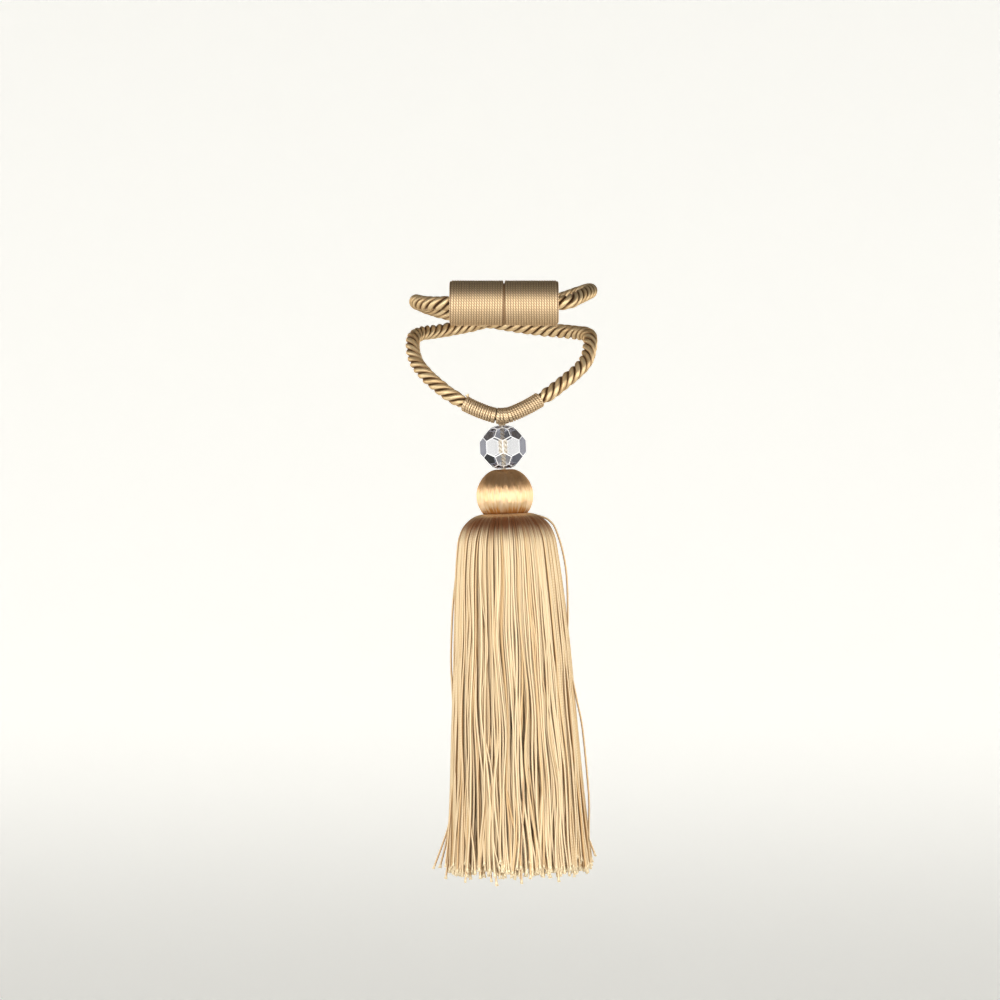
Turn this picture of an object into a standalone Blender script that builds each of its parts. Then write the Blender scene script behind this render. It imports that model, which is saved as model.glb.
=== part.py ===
"""Magnetic curtain tieback with a bead and a long silk tassel, hung as it is round a gathered curtain.

Metres, +Z up, +X to the right and +Y to the back as the tassel is looked at. The origin is the middle of
the space that the upper turn of the rope closes round, level with the axis of the two magnet barrels.
One rope runs from barrel to barrel. It goes round the curtain twice: once high, at the barrels, and once
in a lower turn that sags at the front, where two thread bindings and a small loop carry the tassel.
"""

import math
import random

import bmesh
import bpy
from mathutils import Matrix, Vector

# Driving dimensions
CLEARANCE = 0.0003  # between neighbouring pieces
BARREL_DIAMETER = 0.0237
BARREL_LENGTH = 0.0282
BARREL_EDGE = 0.0014  # radius of the rounded ends of a barrel
THREAD_PITCH = 0.00134  # between the turns of thread wound on the barrels and round the rope
THREAD_RELIEF = 0.00022  # from a turn's back to the valley beside it
BARREL_AXIS_Y = -0.038
SOCKET_DEPTH = 0.0030  # of the recess in a barrel's outer end where the rope is glued in
SOCKET_CLEARANCE = 0.0005
ROPE_DIAMETER = 0.0078
ROPE_STRANDS = 4
ROPE_LAY = 0.0198  # length along the rope in which a strand goes once round, to the left (S lay)
BOUND_ROPE_DIAMETER = 0.0054  # of the rope where the thread binding squeezes it
BINDING_DIAMETER = 0.0083
BINDING_LENGTH = 0.0214  # of each of the two thread bindings
CORD_DIAMETER = 0.0025  # of the thin cord that the tassel hangs on
CORD_SEAT = 0.0060  # how deep that cord is glued into the ball
LOOP_TURNS = 2  # of that cord round the rope, between the bindings
LOOP_THICKNESS = 0.0013  # of those turns, which are pulled flat
LOOP_WIDTH = 0.0025
BEAD_DIAMETER = 0.0233
BEAD_HEIGHT = 0.0224
BEAD_DROP = 0.0050  # from the rope's middle to the bead's top
BALL_DIAMETER = 0.0292
BALL_HEIGHT = 0.0228
BALL_CENTRE_DROP = 0.0416  # from the rope's middle to the ball's centre
SKIRT_LENGTH = 0.1870
TASSEL_LEAN_DEG = 2.3  # of the tassel's axis, to the right as it goes down

# Sizes worked out from them
ROPE_RADIUS = ROPE_DIAMETER / 2
BORE_RADIUS = CORD_DIAMETER / 2 + CLEARANCE
LOOP_RADIUS = BOUND_ROPE_DIAMETER / 2 + CLEARANCE + LOOP_THICKNESS / 2
BINDING_START = LOOP_TURNS * LOOP_WIDTH / 2 + 2 * CLEARANCE  # along the rope, from its middle to a binding
BALL_TOP_DROP = BEAD_DROP + BEAD_HEIGHT + CLEARANCE
CORD_END_DROP = BALL_TOP_DROP + CORD_SEAT
SKIRT_DROP = BALL_TOP_DROP + BALL_HEIGHT + CLEARANCE

# The rope's middle line, from the left barrel to the right one, in millimetres: x, y, z.
ROPE_ROUTE_MM = (
    (-25.7, -38.0, 0.0),
    (-28.8, -38.0, 0.0),
    (-34.0, -36.2, -0.2),
    (-39.6, -31.0, 0.2),
    (-44.2, -22.6, 1.2),
    (-46.2, -10.0, 2.2),
    (-44.8, 4.5, 1.8),
    (-37.0, 19.0, -0.6),
    (-20.0, 28.2, -4.2),
    (0.0, 30.4, -7.6),
    (20.0, 28.0, -10.6),
    (36.8, 17.4, -12.8),
    (44.9, 2.5, -15.0),
    (45.4, -7.5, -20.4),
    (43.4, -15.6, -28.6),
    (38.2, -22.0, -35.0),
    (30.8, -26.6, -41.2),
    (22.4, -30.2, -47.6),
    (10.2, -33.6, -54.8),
    (-1.2, -34.8, -58.6),
    (-13.4, -33.6, -55.4),
    (-26.6, -29.6, -48.4),
    (-35.8, -24.8, -41.4),
    (-42.4, -18.6, -35.0),
    (-47.0, -9.8, -27.8),
    (-48.2, 0.5, -18.0),
    (-44.6, 13.0, -13.8),
    (-34.0, 26.6, -11.6),
    (-17.6, 36.0, -8.0),
    (0.0, 38.8, -3.2),
    (17.6, 36.0, 2.0),
    (33.0, 26.4, 6.0),
    (43.2, 11.0, 8.8),
    (45.6, -5.5, 8.2),
    (43.4, -18.0, 6.2),
    (39.0, -28.4, 3.6),
    (34.4, -35.8, 1.0),
    (28.8, -38.0, 0.0),
    (25.7, -38.0, 0.0),
)
ROUTE_HANG_POINT = 19  # the row where the tassel hangs

# The tassel's skirt: how far below its top, and the radius of its outside there, in millimetres.
SKIRT_PROFILE_MM = (
    {"drop": 9.0, "radius": 24.2},
    {"drop": 17.0, "radius": 26.4},
    {"drop": 38.0, "radius": 28.6},
    {"drop": 82.0, "radius": 31.8},
    {"drop": 130.0, "radius": 34.7},
    {"drop": 187.0, "radius": 37.6},
)
# The shoulder that the strands are fused to: the same two sizes.
SHOULDER_PROFILE_MM = (
    {"drop": 0.0, "radius": 11.4},
    {"drop": 0.6, "radius": 15.2},
    {"drop": 3.1, "radius": 19.4},
    {"drop": 6.5, "radius": 22.6},
    {"drop": 10.5, "radius": 24.7},
)
# Rings of strands from the outside in: radius as a share of the skirt's, number of strands, sections skipped.
STRAND_RINGS = (
    {"share": 0.985, "strands": 70, "skip": ()},
    {"share": 0.800, "strands": 50, "skip": (1,)},
    {"share": 0.600, "strands": 32, "skip": (1, 3)},
    {"share": 0.400, "strands": 18, "skip": (1, 2, 3)},
    {"share": 0.180, "strands": 8, "skip": (1, 2, 3)},
)
STRAND_RADIUS = 0.00082
STRAND_SIDES = 3
STRAND_SPARE = 0.0018  # the room that a strand and its gap keep clear of the next
END_UNEVENNESS = 0.0022
SHOULDER_RIB_DEPTH = 0.00045
SHOULDER_RIB_POINTS = 2  # points round the shoulder for each outer strand
DISHED = 0.004  # how much higher the middle of the skirt's cut end is

ROUTE_STEPS_PER_LAY = 7
BARREL_SIDES = 18
BALL_SIDES = 24


def material(name, colour, roughness, metallic=0.0, transmission=0.0):
    """A Principled BSDF with the piece's colour and finish."""
    made = bpy.data.materials.new(name)
    made.use_nodes = True
    shader = made.node_tree.nodes["Principled BSDF"]
    shader.inputs["Base Color"].default_value = (*colour, 1.0)
    shader.inputs["Roughness"].default_value = roughness
    shader.inputs["Metallic"].default_value = metallic
    shader.inputs["Transmission Weight"].default_value = transmission
    return made


def collection(name, shown=True):
    made = bpy.data.collections.new(name)
    bpy.context.scene.collection.children.link(made)
    made.hide_render = not shown
    return made


def mesh_object(name, mesh, group, finish=None):
    made = bpy.data.objects.new(name, mesh)
    group.objects.link(made)
    if finish:
        mesh.materials.clear()
        mesh.materials.append(finish)
    return made


def object_from_bmesh(name, shape, group, finish=None):
    mesh = bpy.data.meshes.new(name)
    shape.to_mesh(mesh)
    shape.free()
    return mesh_object(name, mesh, group, finish)


def curve_object(name, splines, group, closed=False, **settings):
    """A curve of POLY splines, each a list of (point, radius, tilt)."""
    data = bpy.data.curves.new(name, "CURVE")
    data.dimensions = "3D"
    data.use_fill_caps = True
    for key, value in settings.items():
        setattr(data, key, value)
    for points in splines:
        spline = data.splines.new("POLY")
        spline.points.add(len(points) - 1)
        spline.use_cyclic_u = closed
        for target, (place, radius, tilt) in zip(spline.points, points):
            target.co = (*place, 1.0)
            target.radius = radius
            target.tilt = tilt
    made = bpy.data.objects.new(name, data)
    group.objects.link(made)
    return made


def as_mesh(curve, group, finish=None):
    """The curve's evaluated mesh as an object of the same name, its caps welded; the curve is removed."""
    bpy.context.view_layer.update()
    evaluated = curve.evaluated_get(bpy.context.evaluated_depsgraph_get())
    mesh = bpy.data.meshes.new_from_object(evaluated)
    shape = bmesh.new()
    shape.from_mesh(mesh)
    bmesh.ops.remove_doubles(shape, verts=shape.verts, dist=1e-6)
    bmesh.ops.recalc_face_normals(shape, faces=shape.faces)
    shape.to_mesh(mesh)
    shape.free()
    name, place = curve.name, curve.matrix_world.copy()
    bpy.data.objects.remove(curve)
    made = mesh_object(name, mesh, group, finish)
    made.name = name
    made.matrix_world = place
    return made


def boolean(target, tool, operation):
    modifier = target.modifiers.new(operation.lower(), "BOOLEAN")
    modifier.operation = operation
    modifier.solver = "EXACT"
    modifier.object = tool
    return modifier


def smooth(obj, angle_deg=40.0):
    obj.data.shade_smooth()
    obj.data.set_sharp_from_angle(angle=math.radians(angle_deg))


def smooth_line(points, steps=12):
    """Points of a Catmull-Rom curve through the given ones."""
    ends = [points[0] * 2 - points[1], *points, points[-1] * 2 - points[-2]]
    line = []
    for a, b, c, d in zip(ends, ends[1:], ends[2:], ends[3:]):
        for step in range(steps):
            t = step / steps
            line.append(
                0.5 * (2 * b + (c - a) * t + (2 * a - 5 * b + 4 * c - d) * t**2
                       + (3 * b - a - 3 * c + d) * t**3)
            )
    return [*line, points[-1]]


def distances(line):
    """How far along the line each of its points is."""
    along = [0.0]
    for a, b in zip(line, line[1:]):
        along.append(along[-1] + (b - a).length)
    return along


def point_at(line, along, where):
    """The point of the line at a distance along it."""
    for i, end in enumerate(along[1:]):
        if where <= end:
            share = (where - along[i]) / (end - along[i])
            return line[i].lerp(line[i + 1], share)
    return line[-1]


def stretch_of(line, along, start, end, step):
    """Evenly spaced points of the line between two distances, as (distance, point)."""
    count = max(2, round((end - start) / step))
    places = [start + (end - start) * i / count for i in range(count + 1)]
    return [(where, point_at(line, along, where)) for where in places]


def cutter_rod(name, radius, length, helpers, parent, place):
    """A round rod that cuts a hole in its parent's frame, along Z until it is turned."""
    shape = bmesh.new()
    bmesh.ops.create_cone(shape, cap_ends=True, segments=16, radius1=radius, radius2=radius, depth=length)
    cutter = object_from_bmesh(name, shape, helpers)
    cutter.parent = parent
    cutter.location = place
    cutter.hide_render = True
    cutter.display_type = "WIRE"
    return cutter


def rope_section():
    """Radius and angle of the points round the rope: two on each strand's back, one in each valley."""
    strand_angle = math.tau / ROPE_STRANDS
    back, valley = 1.0, 0.74
    points = []
    for strand in range(ROPE_STRANDS):
        middle = strand * strand_angle
        points.append((back, middle - 0.22 * strand_angle))
        points.append((back, middle + 0.22 * strand_angle))
        points.append((valley, middle + 0.5 * strand_angle))
    return [Vector((r * math.cos(a), r * math.sin(a), 0.0)) * ROPE_RADIUS for r, a in points]


def squeeze(from_middle):
    """The rope's thickness at a distance from the hang point, as a share of its full one."""
    bound = BOUND_ROPE_DIAMETER / ROPE_DIAMETER
    outer_end = BINDING_START + BINDING_LENGTH
    taper = 0.004
    return bound + (1 - bound) * min(1.0, max(0.0, (from_middle - outer_end - CLEARANCE) / taper))


def make_rope(line, along, middle, group, helpers, finish):
    """The rope as one solid with its strands raised, thinner under the bindings."""
    section = [[(point, 1.0, 0.0) for point in rope_section()]]
    profile = curve_object("rope_section", section, helpers, closed=True, dimensions="2D")
    profile.data.fill_mode = "NONE"
    profile.hide_render = True
    start, end = CLEARANCE, along[-1] - CLEARANCE
    points = [
        (point, squeeze(abs(where - middle)), -math.tau * where / ROPE_LAY)
        for where, point in stretch_of(line, along, start, end, ROPE_LAY / ROUTE_STEPS_PER_LAY)
    ]
    rope = as_mesh(
        curve_object("rope", [points], group, bevel_mode="OBJECT", bevel_object=profile), group, finish
    )
    smooth(rope)
    return rope


def wound_profile(length, radius):
    """Half the outline of a thread-wound barrel along Z, from its top's middle to its bottom's."""
    top = [(0.0, length / 2)]
    top += [(radius - BARREL_EDGE + BARREL_EDGE * math.sin(a), length / 2 - BARREL_EDGE * (1 - math.cos(a)))
            for a in (0.0, math.radians(50))]
    turns = round((length - 2 * BARREL_EDGE) / THREAD_PITCH)
    pitch = (length - 2 * BARREL_EDGE) / turns
    side = []
    for half_turn in range(2 * turns + 1):
        valley = half_turn % 2 == 0
        side.append((radius - THREAD_RELIEF * valley, length / 2 - BARREL_EDGE - pitch * half_turn / 2))
    bottom = [(r, -z) for r, z in reversed(top)]
    return top + side + bottom


def make_barrel(name, side, group, helpers, finish):
    """A thread-wound magnet barrel: a flat inner face against its twin's, a socket for the rope outside."""
    shape = bmesh.new()
    verts = [shape.verts.new((r, 0, z)) for r, z in wound_profile(BARREL_LENGTH, BARREL_DIAMETER / 2)]
    for a, b in zip(verts, verts[1:]):
        shape.edges.new((a, b))
    barrel = object_from_bmesh(name, shape, group, finish)
    barrel.location = (side * (BARREL_LENGTH + CLEARANCE) / 2, BARREL_AXIS_Y, 0.0)
    barrel.rotation_euler = (0, math.radians(90), 0)
    turned = barrel.modifiers.new("turned", "SCREW")
    turned.steps = turned.render_steps = BARREL_SIDES
    turned.use_merge_vertices = True
    turned.merge_threshold = 0.00001
    socket = cutter_rod(
        f"{name}_socket", ROPE_RADIUS + SOCKET_CLEARANCE, 2 * SOCKET_DEPTH, helpers, barrel,
        (0, 0, side * BARREL_LENGTH / 2),
    )
    boolean(barrel, socket, "DIFFERENCE")
    return barrel


def make_binding(name, side, line, along, middle, group, helpers, finish):
    """Thread wound closely round the rope, as a sleeve with a real wall."""
    near, far = sorted((middle + side * BINDING_START, middle + side * (BINDING_START + BINDING_LENGTH)))
    valley = 1 - THREAD_RELIEF / (BINDING_DIAMETER / 2)
    turns = [
        (point, (valley, 1.0)[i % 2], 0.0)
        for i, (_, point) in enumerate(stretch_of(line, along, near, far, THREAD_PITCH / 2))
    ]
    binding = as_mesh(
        curve_object(name, [turns], group, bevel_depth=BINDING_DIAMETER / 2, bevel_resolution=4),
        group, finish,
    )
    beyond = 0.002
    bore_line = [
        (point, 1.0, 0.0)
        for _, point in stretch_of(line, along, near - beyond, far + beyond, ROPE_LAY / ROUTE_STEPS_PER_LAY)
    ]
    bore = as_mesh(
        curve_object(
            f"{name}_bore", [bore_line], helpers, bevel_depth=BOUND_ROPE_DIAMETER / 2 + CLEARANCE,
            bevel_resolution=3,
        ),
        helpers,
    )
    bore.hide_render = True
    bore.display_type = "WIRE"
    boolean(binding, bore, "DIFFERENCE")
    return binding


def make_hanging_cord(axis, line, along, middle, group, finish):
    """The thin cord: one turn round the rope between the bindings, and a stem down through the bead."""
    stem = bmesh.new()
    bmesh.ops.create_cone(
        stem, cap_ends=True, segments=12, radius1=CORD_DIAMETER / 2, radius2=CORD_DIAMETER / 2,
        depth=CORD_END_DROP - LOOP_RADIUS,
        matrix=Matrix.Translation((0, 0, -(CORD_END_DROP + LOOP_RADIUS) / 2)),
    )
    cord = object_from_bmesh("hanging_cord", stem, group, finish)
    cord.parent = axis
    for turn in range(LOOP_TURNS):
        where = middle + (turn - (LOOP_TURNS - 1) / 2) * LOOP_WIDTH
        ahead = point_at(line, along, where + 0.001) - point_at(line, along, where - 0.001)
        bpy.ops.mesh.primitive_torus_add(
            major_radius=LOOP_RADIUS, minor_radius=LOOP_THICKNESS / 2, major_segments=20, minor_segments=6
        )
        loop = bpy.context.object
        loop.name = f"cord_loop_{turn + 1}"
        loop.data.transform(Matrix.Diagonal((1, 1, LOOP_WIDTH / LOOP_THICKNESS, 1)))
        loop.location = point_at(line, along, where)
        loop.rotation_euler = ahead.to_track_quat("Z", "Y").to_euler()
        loop.hide_render = True
        loop.display_type = "WIRE"
        boolean(cord, loop, "UNION")
    smooth(cord)
    return cord


def make_bead(axis, group, helpers, finish):
    """A round bead cut with rows of flat facets, and a bore for the cord."""
    radius = BEAD_DIAMETER / 2
    rows = (
        {"height_deg": 0.0, "facets": 8, "turn": 0.5, "depth": 0.955},
        {"height_deg": 40.0, "facets": 8, "turn": 0.0, "depth": 0.965},
        {"height_deg": -40.0, "facets": 8, "turn": 0.0, "depth": 0.965},
        {"height_deg": 66.0, "facets": 8, "turn": 0.5, "depth": 0.990},
        {"height_deg": -66.0, "facets": 8, "turn": 0.5, "depth": 0.990},
    )
    shape = bmesh.new()
    bmesh.ops.create_cube(shape, size=BEAD_DIAMETER * 1.2)
    cuts = [(Vector((0, 0, side)), BEAD_HEIGHT / 2) for side in (1, -1)]
    for row in rows:
        rise = math.radians(row["height_deg"])
        for facet in range(row["facets"]):
            turn = math.tau * (facet + row["turn"]) / row["facets"] - math.radians(90)
            normal = Vector(
                (math.cos(turn) * math.cos(rise), math.sin(turn) * math.cos(rise), math.sin(rise))
            )
            cuts.append((normal, radius * row["depth"]))
    for normal, depth in cuts:
        cut = bmesh.ops.bisect_plane(
            shape, geom=[*shape.verts, *shape.edges, *shape.faces], dist=1e-7,
            plane_co=normal * depth, plane_no=normal, clear_outer=True,
        )
        edges = [item for item in cut["geom_cut"] if isinstance(item, bmesh.types.BMEdge)]
        bmesh.ops.contextual_create(shape, geom=edges)
    bead = object_from_bmesh("bead", shape, group, finish)
    bead.parent = axis
    bead.location = (0, 0, -BEAD_DROP - BEAD_HEIGHT / 2)
    bore = cutter_rod("bead_bore", BORE_RADIUS, BEAD_HEIGHT * 1.5, helpers, axis, bead.location)
    boolean(bead, bore, "DIFFERENCE")
    return bead


def make_ball(axis, group, helpers, finish):
    """The silk-covered ball at the tassel's top, flattened under the bead and over the skirt."""
    shape = bmesh.new()
    bmesh.ops.create_uvsphere(
        shape, u_segments=BALL_SIDES, v_segments=BALL_SIDES // 2, radius=BALL_DIAMETER / 2
    )
    flats = (
        (BALL_CENTRE_DROP - BALL_TOP_DROP, 1),
        (BALL_CENTRE_DROP - BALL_TOP_DROP - BALL_HEIGHT, -1),
    )
    for height, side in flats:
        cut = bmesh.ops.bisect_plane(
            shape, geom=[*shape.verts, *shape.edges, *shape.faces], dist=1e-7,
            plane_co=(0, 0, height), plane_no=(0, 0, side), clear_outer=True,
        )
        edges = [item for item in cut["geom_cut"] if isinstance(item, bmesh.types.BMEdge)]
        bmesh.ops.contextual_create(shape, geom=edges)
    ball = object_from_bmesh("head_ball", shape, group, finish)
    ball.parent = axis
    ball.location = (0, 0, -BALL_CENTRE_DROP)
    hole = cutter_rod(
        "ball_hole", BORE_RADIUS, 2 * (CORD_END_DROP - BALL_TOP_DROP + CLEARANCE), helpers, axis,
        (0, 0, -BALL_TOP_DROP),
    )
    boolean(ball, hole, "DIFFERENCE")
    smooth(ball)
    return ball


def make_shoulder(axis, group, finish):
    """The domed shoulder where the strands bend over, ribbed by the outer ring of strands."""
    ribs = STRAND_RINGS[0]["strands"]
    shape = bmesh.new()
    bmesh.ops.create_circle(
        shape, segments=ribs * SHOULDER_RIB_POINTS, radius=SHOULDER_PROFILE_MM[0]["radius"] / 1000
    )
    rim = list(shape.edges)
    for row in SHOULDER_PROFILE_MM[1:]:
        grown = bmesh.ops.extrude_edge_only(shape, edges=rim)["geom"]
        rim = [item for item in grown if isinstance(item, bmesh.types.BMEdge)]
        for vert in (item for item in grown if isinstance(item, bmesh.types.BMVert)):
            angle = math.atan2(vert.co.y, vert.co.x)
            radius = row["radius"] / 1000 + SHOULDER_RIB_DEPTH * math.cos(ribs * angle)
            vert.co = (radius * math.cos(angle), radius * math.sin(angle), -row["drop"] / 1000)
    bmesh.ops.holes_fill(shape, edges=shape.edges)
    bmesh.ops.recalc_face_normals(shape, faces=shape.faces)
    shoulder = object_from_bmesh("skirt", shape, group, finish)
    shoulder.parent = axis
    shoulder.location = (0, 0, -SKIRT_DROP)
    return shoulder


def strand_lines():
    """The middle line of every strand, in the shoulder's own frame."""
    chance = random.Random(7)
    lines = []
    for ring in STRAND_RINGS:
        rows = [row for i, row in enumerate(SKIRT_PROFILE_MM) if i not in ring["skip"]]
        for strand in range(ring["strands"]):
            angle = math.tau * strand / ring["strands"]
            line = []
            for i, row in enumerate(rows):
                radius = row["radius"] * ring["share"] / 1000 - STRAND_RADIUS * (ring is STRAND_RINGS[0])
                drop = row["drop"] / 1000
                if i:
                    room = max(0.0, math.tau * radius / ring["strands"] - STRAND_SPARE) / 2
                    angle_now = angle + chance.uniform(-room, room) / radius
                    radius += chance.uniform(-0.5, 0.5) * min(0.0016, 0.02 * drop)
                else:
                    angle_now = angle
                if i == len(rows) - 1:
                    drop = SKIRT_LENGTH - DISHED * (1 - ring["share"]) - chance.uniform(0, END_UNEVENNESS)
                line.append(Vector((radius * math.cos(angle_now), radius * math.sin(angle_now), -drop)))
            lines.append(line)
    return lines


def make_skirt(axis, group, helpers, finish):
    """The shoulder with all of its strands joined on as one solid."""
    shoulder = make_shoulder(axis, group, finish)
    corners = [
        Vector((math.cos(math.tau * i / STRAND_SIDES), math.sin(math.tau * i / STRAND_SIDES), 0))
        * STRAND_RADIUS
        for i in range(STRAND_SIDES)
    ]
    section = [[(corner, 1.0, 0.0) for corner in corners]]
    profile = curve_object("strand_section", section, helpers, closed=True, dimensions="2D")
    profile.data.fill_mode = "NONE"
    splines = [[(point, 1.0, 0.0) for point in line] for line in strand_lines()]
    strands = as_mesh(
        curve_object("strands", splines, helpers, bevel_mode="OBJECT", bevel_object=profile), helpers
    )
    strands.parent = axis
    strands.location = shoulder.location
    for helper in (profile, strands):
        helper.hide_render = True
        helper.display_type = "WIRE"
    boolean(shoulder, strands, "UNION")
    return shoulder


def build():
    for obj in list(bpy.data.objects):
        bpy.data.objects.remove(obj)
    tieback = collection("curtain_tieback")
    helpers = collection("helpers", shown=False)
    rope_silk = material("rope_silk", (0.62, 0.43, 0.20), 0.42)
    thread = material("winding_thread", (0.58, 0.39, 0.19), 0.60)
    floss = material("ball_floss", (0.60, 0.42, 0.19), 0.38)
    yarn = material("skirt_yarn", (0.70, 0.53, 0.29), 0.50)
    crystal = material("crystal", (0.95, 0.96, 0.98), 0.03, transmission=1.0)

    route = [Vector(row) / 1000 for row in ROPE_ROUTE_MM]
    line = smooth_line(route)
    along = distances(line)
    steps_per_row = (len(line) - 1) // (len(route) - 1)
    middle = along[ROUTE_HANG_POINT * steps_per_row]

    axis = bpy.data.objects.new("tassel_axis", None)
    tieback.objects.link(axis)
    axis.location = route[ROUTE_HANG_POINT]
    axis.rotation_euler = (0, -math.radians(TASSEL_LEAN_DEG), 0)
    bpy.context.view_layer.update()

    make_barrel("barrel_left", -1, tieback, helpers, thread)
    make_barrel("barrel_right", 1, tieback, helpers, thread)
    make_rope(line, along, middle, tieback, helpers, rope_silk)
    make_binding("binding_right", -1, line, along, middle, tieback, helpers, thread)
    make_binding("binding_left", 1, line, along, middle, tieback, helpers, thread)
    make_hanging_cord(axis, line, along, middle, tieback, thread)
    make_bead(axis, tieback, helpers, crystal)
    make_ball(axis, tieback, helpers, floss)
    make_skirt(axis, tieback, helpers, yarn)


build()
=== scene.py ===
"""Curtain tieback with a magnet clasp, a cut bead and a long rayon tassel: its looks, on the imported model.

Metres, +Z up, +X to the right and +Y away from whoever stands in front of the curtain. The origin is the
middle of the space that the rope's upper turn closes round. Yarns, threads and cords are all tubes that
follow a middle line, with their length and girth as UV, so that the twist of their plies follows them.
"""

from __future__ import annotations

import logging
import math
import random
from dataclasses import dataclass
from enum import Enum
from functools import partial
from typing import Callable

import bpy
import numpy as np
from bpy.types import Material, Mesh, MeshVertex, Node, NodeSocket, NodeTree, Object
from mathutils import Matrix, Vector
from numpy import ndarray

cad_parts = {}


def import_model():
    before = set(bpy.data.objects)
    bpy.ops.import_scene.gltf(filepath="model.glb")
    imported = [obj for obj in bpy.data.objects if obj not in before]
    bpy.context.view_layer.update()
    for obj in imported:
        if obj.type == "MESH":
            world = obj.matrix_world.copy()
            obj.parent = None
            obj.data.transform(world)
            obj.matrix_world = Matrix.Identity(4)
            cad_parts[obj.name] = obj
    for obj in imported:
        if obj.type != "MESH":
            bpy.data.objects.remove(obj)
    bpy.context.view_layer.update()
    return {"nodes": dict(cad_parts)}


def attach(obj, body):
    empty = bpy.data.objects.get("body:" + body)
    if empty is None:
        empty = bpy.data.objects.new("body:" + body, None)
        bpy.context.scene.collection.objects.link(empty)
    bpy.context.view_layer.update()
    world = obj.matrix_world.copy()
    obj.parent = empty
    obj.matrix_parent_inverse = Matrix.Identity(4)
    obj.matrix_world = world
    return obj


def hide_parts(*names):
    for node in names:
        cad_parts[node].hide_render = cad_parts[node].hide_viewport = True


Pair = tuple[float, float]
Triple = tuple[float, float, float]
Pairs = tuple[Pair, ...]

LOG = logging.getLogger("tieback")
BODY = "root"
MM = 0.001
UV_NAME = "UVMap"
YARN_MARKS = ("tone", "fray", "root")  # attributes of a yarn's points: its tone, its cut end's fray, and how deep it lies in painted shade
UV_TANGENT = {"direction_type": "UV_MAP", "uv_map": UV_NAME}
MIX_A, MIX_B, MIX_RESULT = 6, 7, 2  # colour sockets of a Mix node

CLEARANCE = 0.3 * MM  # between neighbouring pieces
THREAD_PITCH = 1.34 * MM  # of the thread on the barrels and round the rope
THREAD_WIDTH = 1.04 * THREAD_PITCH  # it is pressed into its neighbours, which leaves shallow grooves
THREAD_POINTS = 12  # round its section
ROPE_DIAMETER = 7.8 * MM
BOUND_DIAMETER = 5.4 * MM  # of the rope where the thread bindings squeeze it

# The rope's middle line, from the left barrel to the right one: x, y, z in metres.
ROPE_ROUTE = (
    (-0.0257, -0.0380, 0.0000), (-0.0288, -0.0380, 0.0000), (-0.0340, -0.0362, -0.0002),
    (-0.0396, -0.0310, 0.0002), (-0.0442, -0.0226, 0.0012), (-0.0462, -0.0100, 0.0022),
    (-0.0448, 0.0045, 0.0018), (-0.0370, 0.0190, -0.0006), (-0.0200, 0.0282, -0.0042),
    (0.0000, 0.0304, -0.0076), (0.0200, 0.0280, -0.0106), (0.0368, 0.0174, -0.0128),
    (0.0449, 0.0025, -0.0150), (0.0454, -0.0075, -0.0204), (0.0434, -0.0156, -0.0286),
    (0.0382, -0.0220, -0.0350), (0.0308, -0.0266, -0.0412), (0.0224, -0.0302, -0.0476),
    (0.0102, -0.0336, -0.0548), (-0.0012, -0.0348, -0.0586), (-0.0134, -0.0336, -0.0554),
    (-0.0266, -0.0296, -0.0484), (-0.0358, -0.0248, -0.0414), (-0.0424, -0.0186, -0.0350),
    (-0.0470, -0.0098, -0.0278), (-0.0482, 0.0005, -0.0180), (-0.0446, 0.0130, -0.0138),
    (-0.0340, 0.0266, -0.0116), (-0.0176, 0.0360, -0.0080), (0.0000, 0.0388, -0.0032),
    (0.0176, 0.0360, 0.0020), (0.0330, 0.0264, 0.0060), (0.0432, 0.0110, 0.0088),
    (0.0456, -0.0055, 0.0082), (0.0434, -0.0180, 0.0062), (0.0390, -0.0284, 0.0036),
    (0.0344, -0.0358, 0.0010), (0.0288, -0.0380, 0.0000), (0.0257, -0.0380, 0.0000),
)
ROUTE_HANG_ROW = 19  # the point where the tassel hangs, counted from 0
ROUTE_STEPS = 12  # points of the smooth line for each of the route's


class Lay(Enum):
    """The way a twist runs: along a strand's front, S falls from left to right and Z rises."""

    S = -1
    Z = 1


# --- Lines and tubes ---


def unit(vectors: ndarray) -> ndarray:
    """The vectors at length 1."""
    return vectors / np.maximum(np.linalg.norm(vectors, axis=-1, keepdims=True), 1e-12)


def distances(points: ndarray) -> ndarray:
    """How far along the line of points each one lies."""
    return np.concatenate([[0.0], np.cumsum(np.linalg.norm(np.diff(points, axis=0), axis=1))])


def smooth_line(points: ndarray, steps: int) -> ndarray:
    """Points of a Catmull-Rom curve.

    Args:
        points: the points that it passes through.
        steps: how many points it gets for each of them.

    Returns:
        The curve's points, the last given one included.
    """
    ends = np.vstack([2 * points[0] - points[1], points, 2 * points[-1] - points[-2]])
    t = (np.arange(steps) / steps)[:, None]
    line = [
        0.5 * (2 * b + (c - a) * t + (2 * a - 5 * b + 4 * c - d) * t**2 + (3 * b - a - 3 * c + d) * t**3)
        for a, b, c, d in zip(ends, ends[1:], ends[2:], ends[3:])
    ]
    return np.vstack([*line, points[-1:]])


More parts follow.
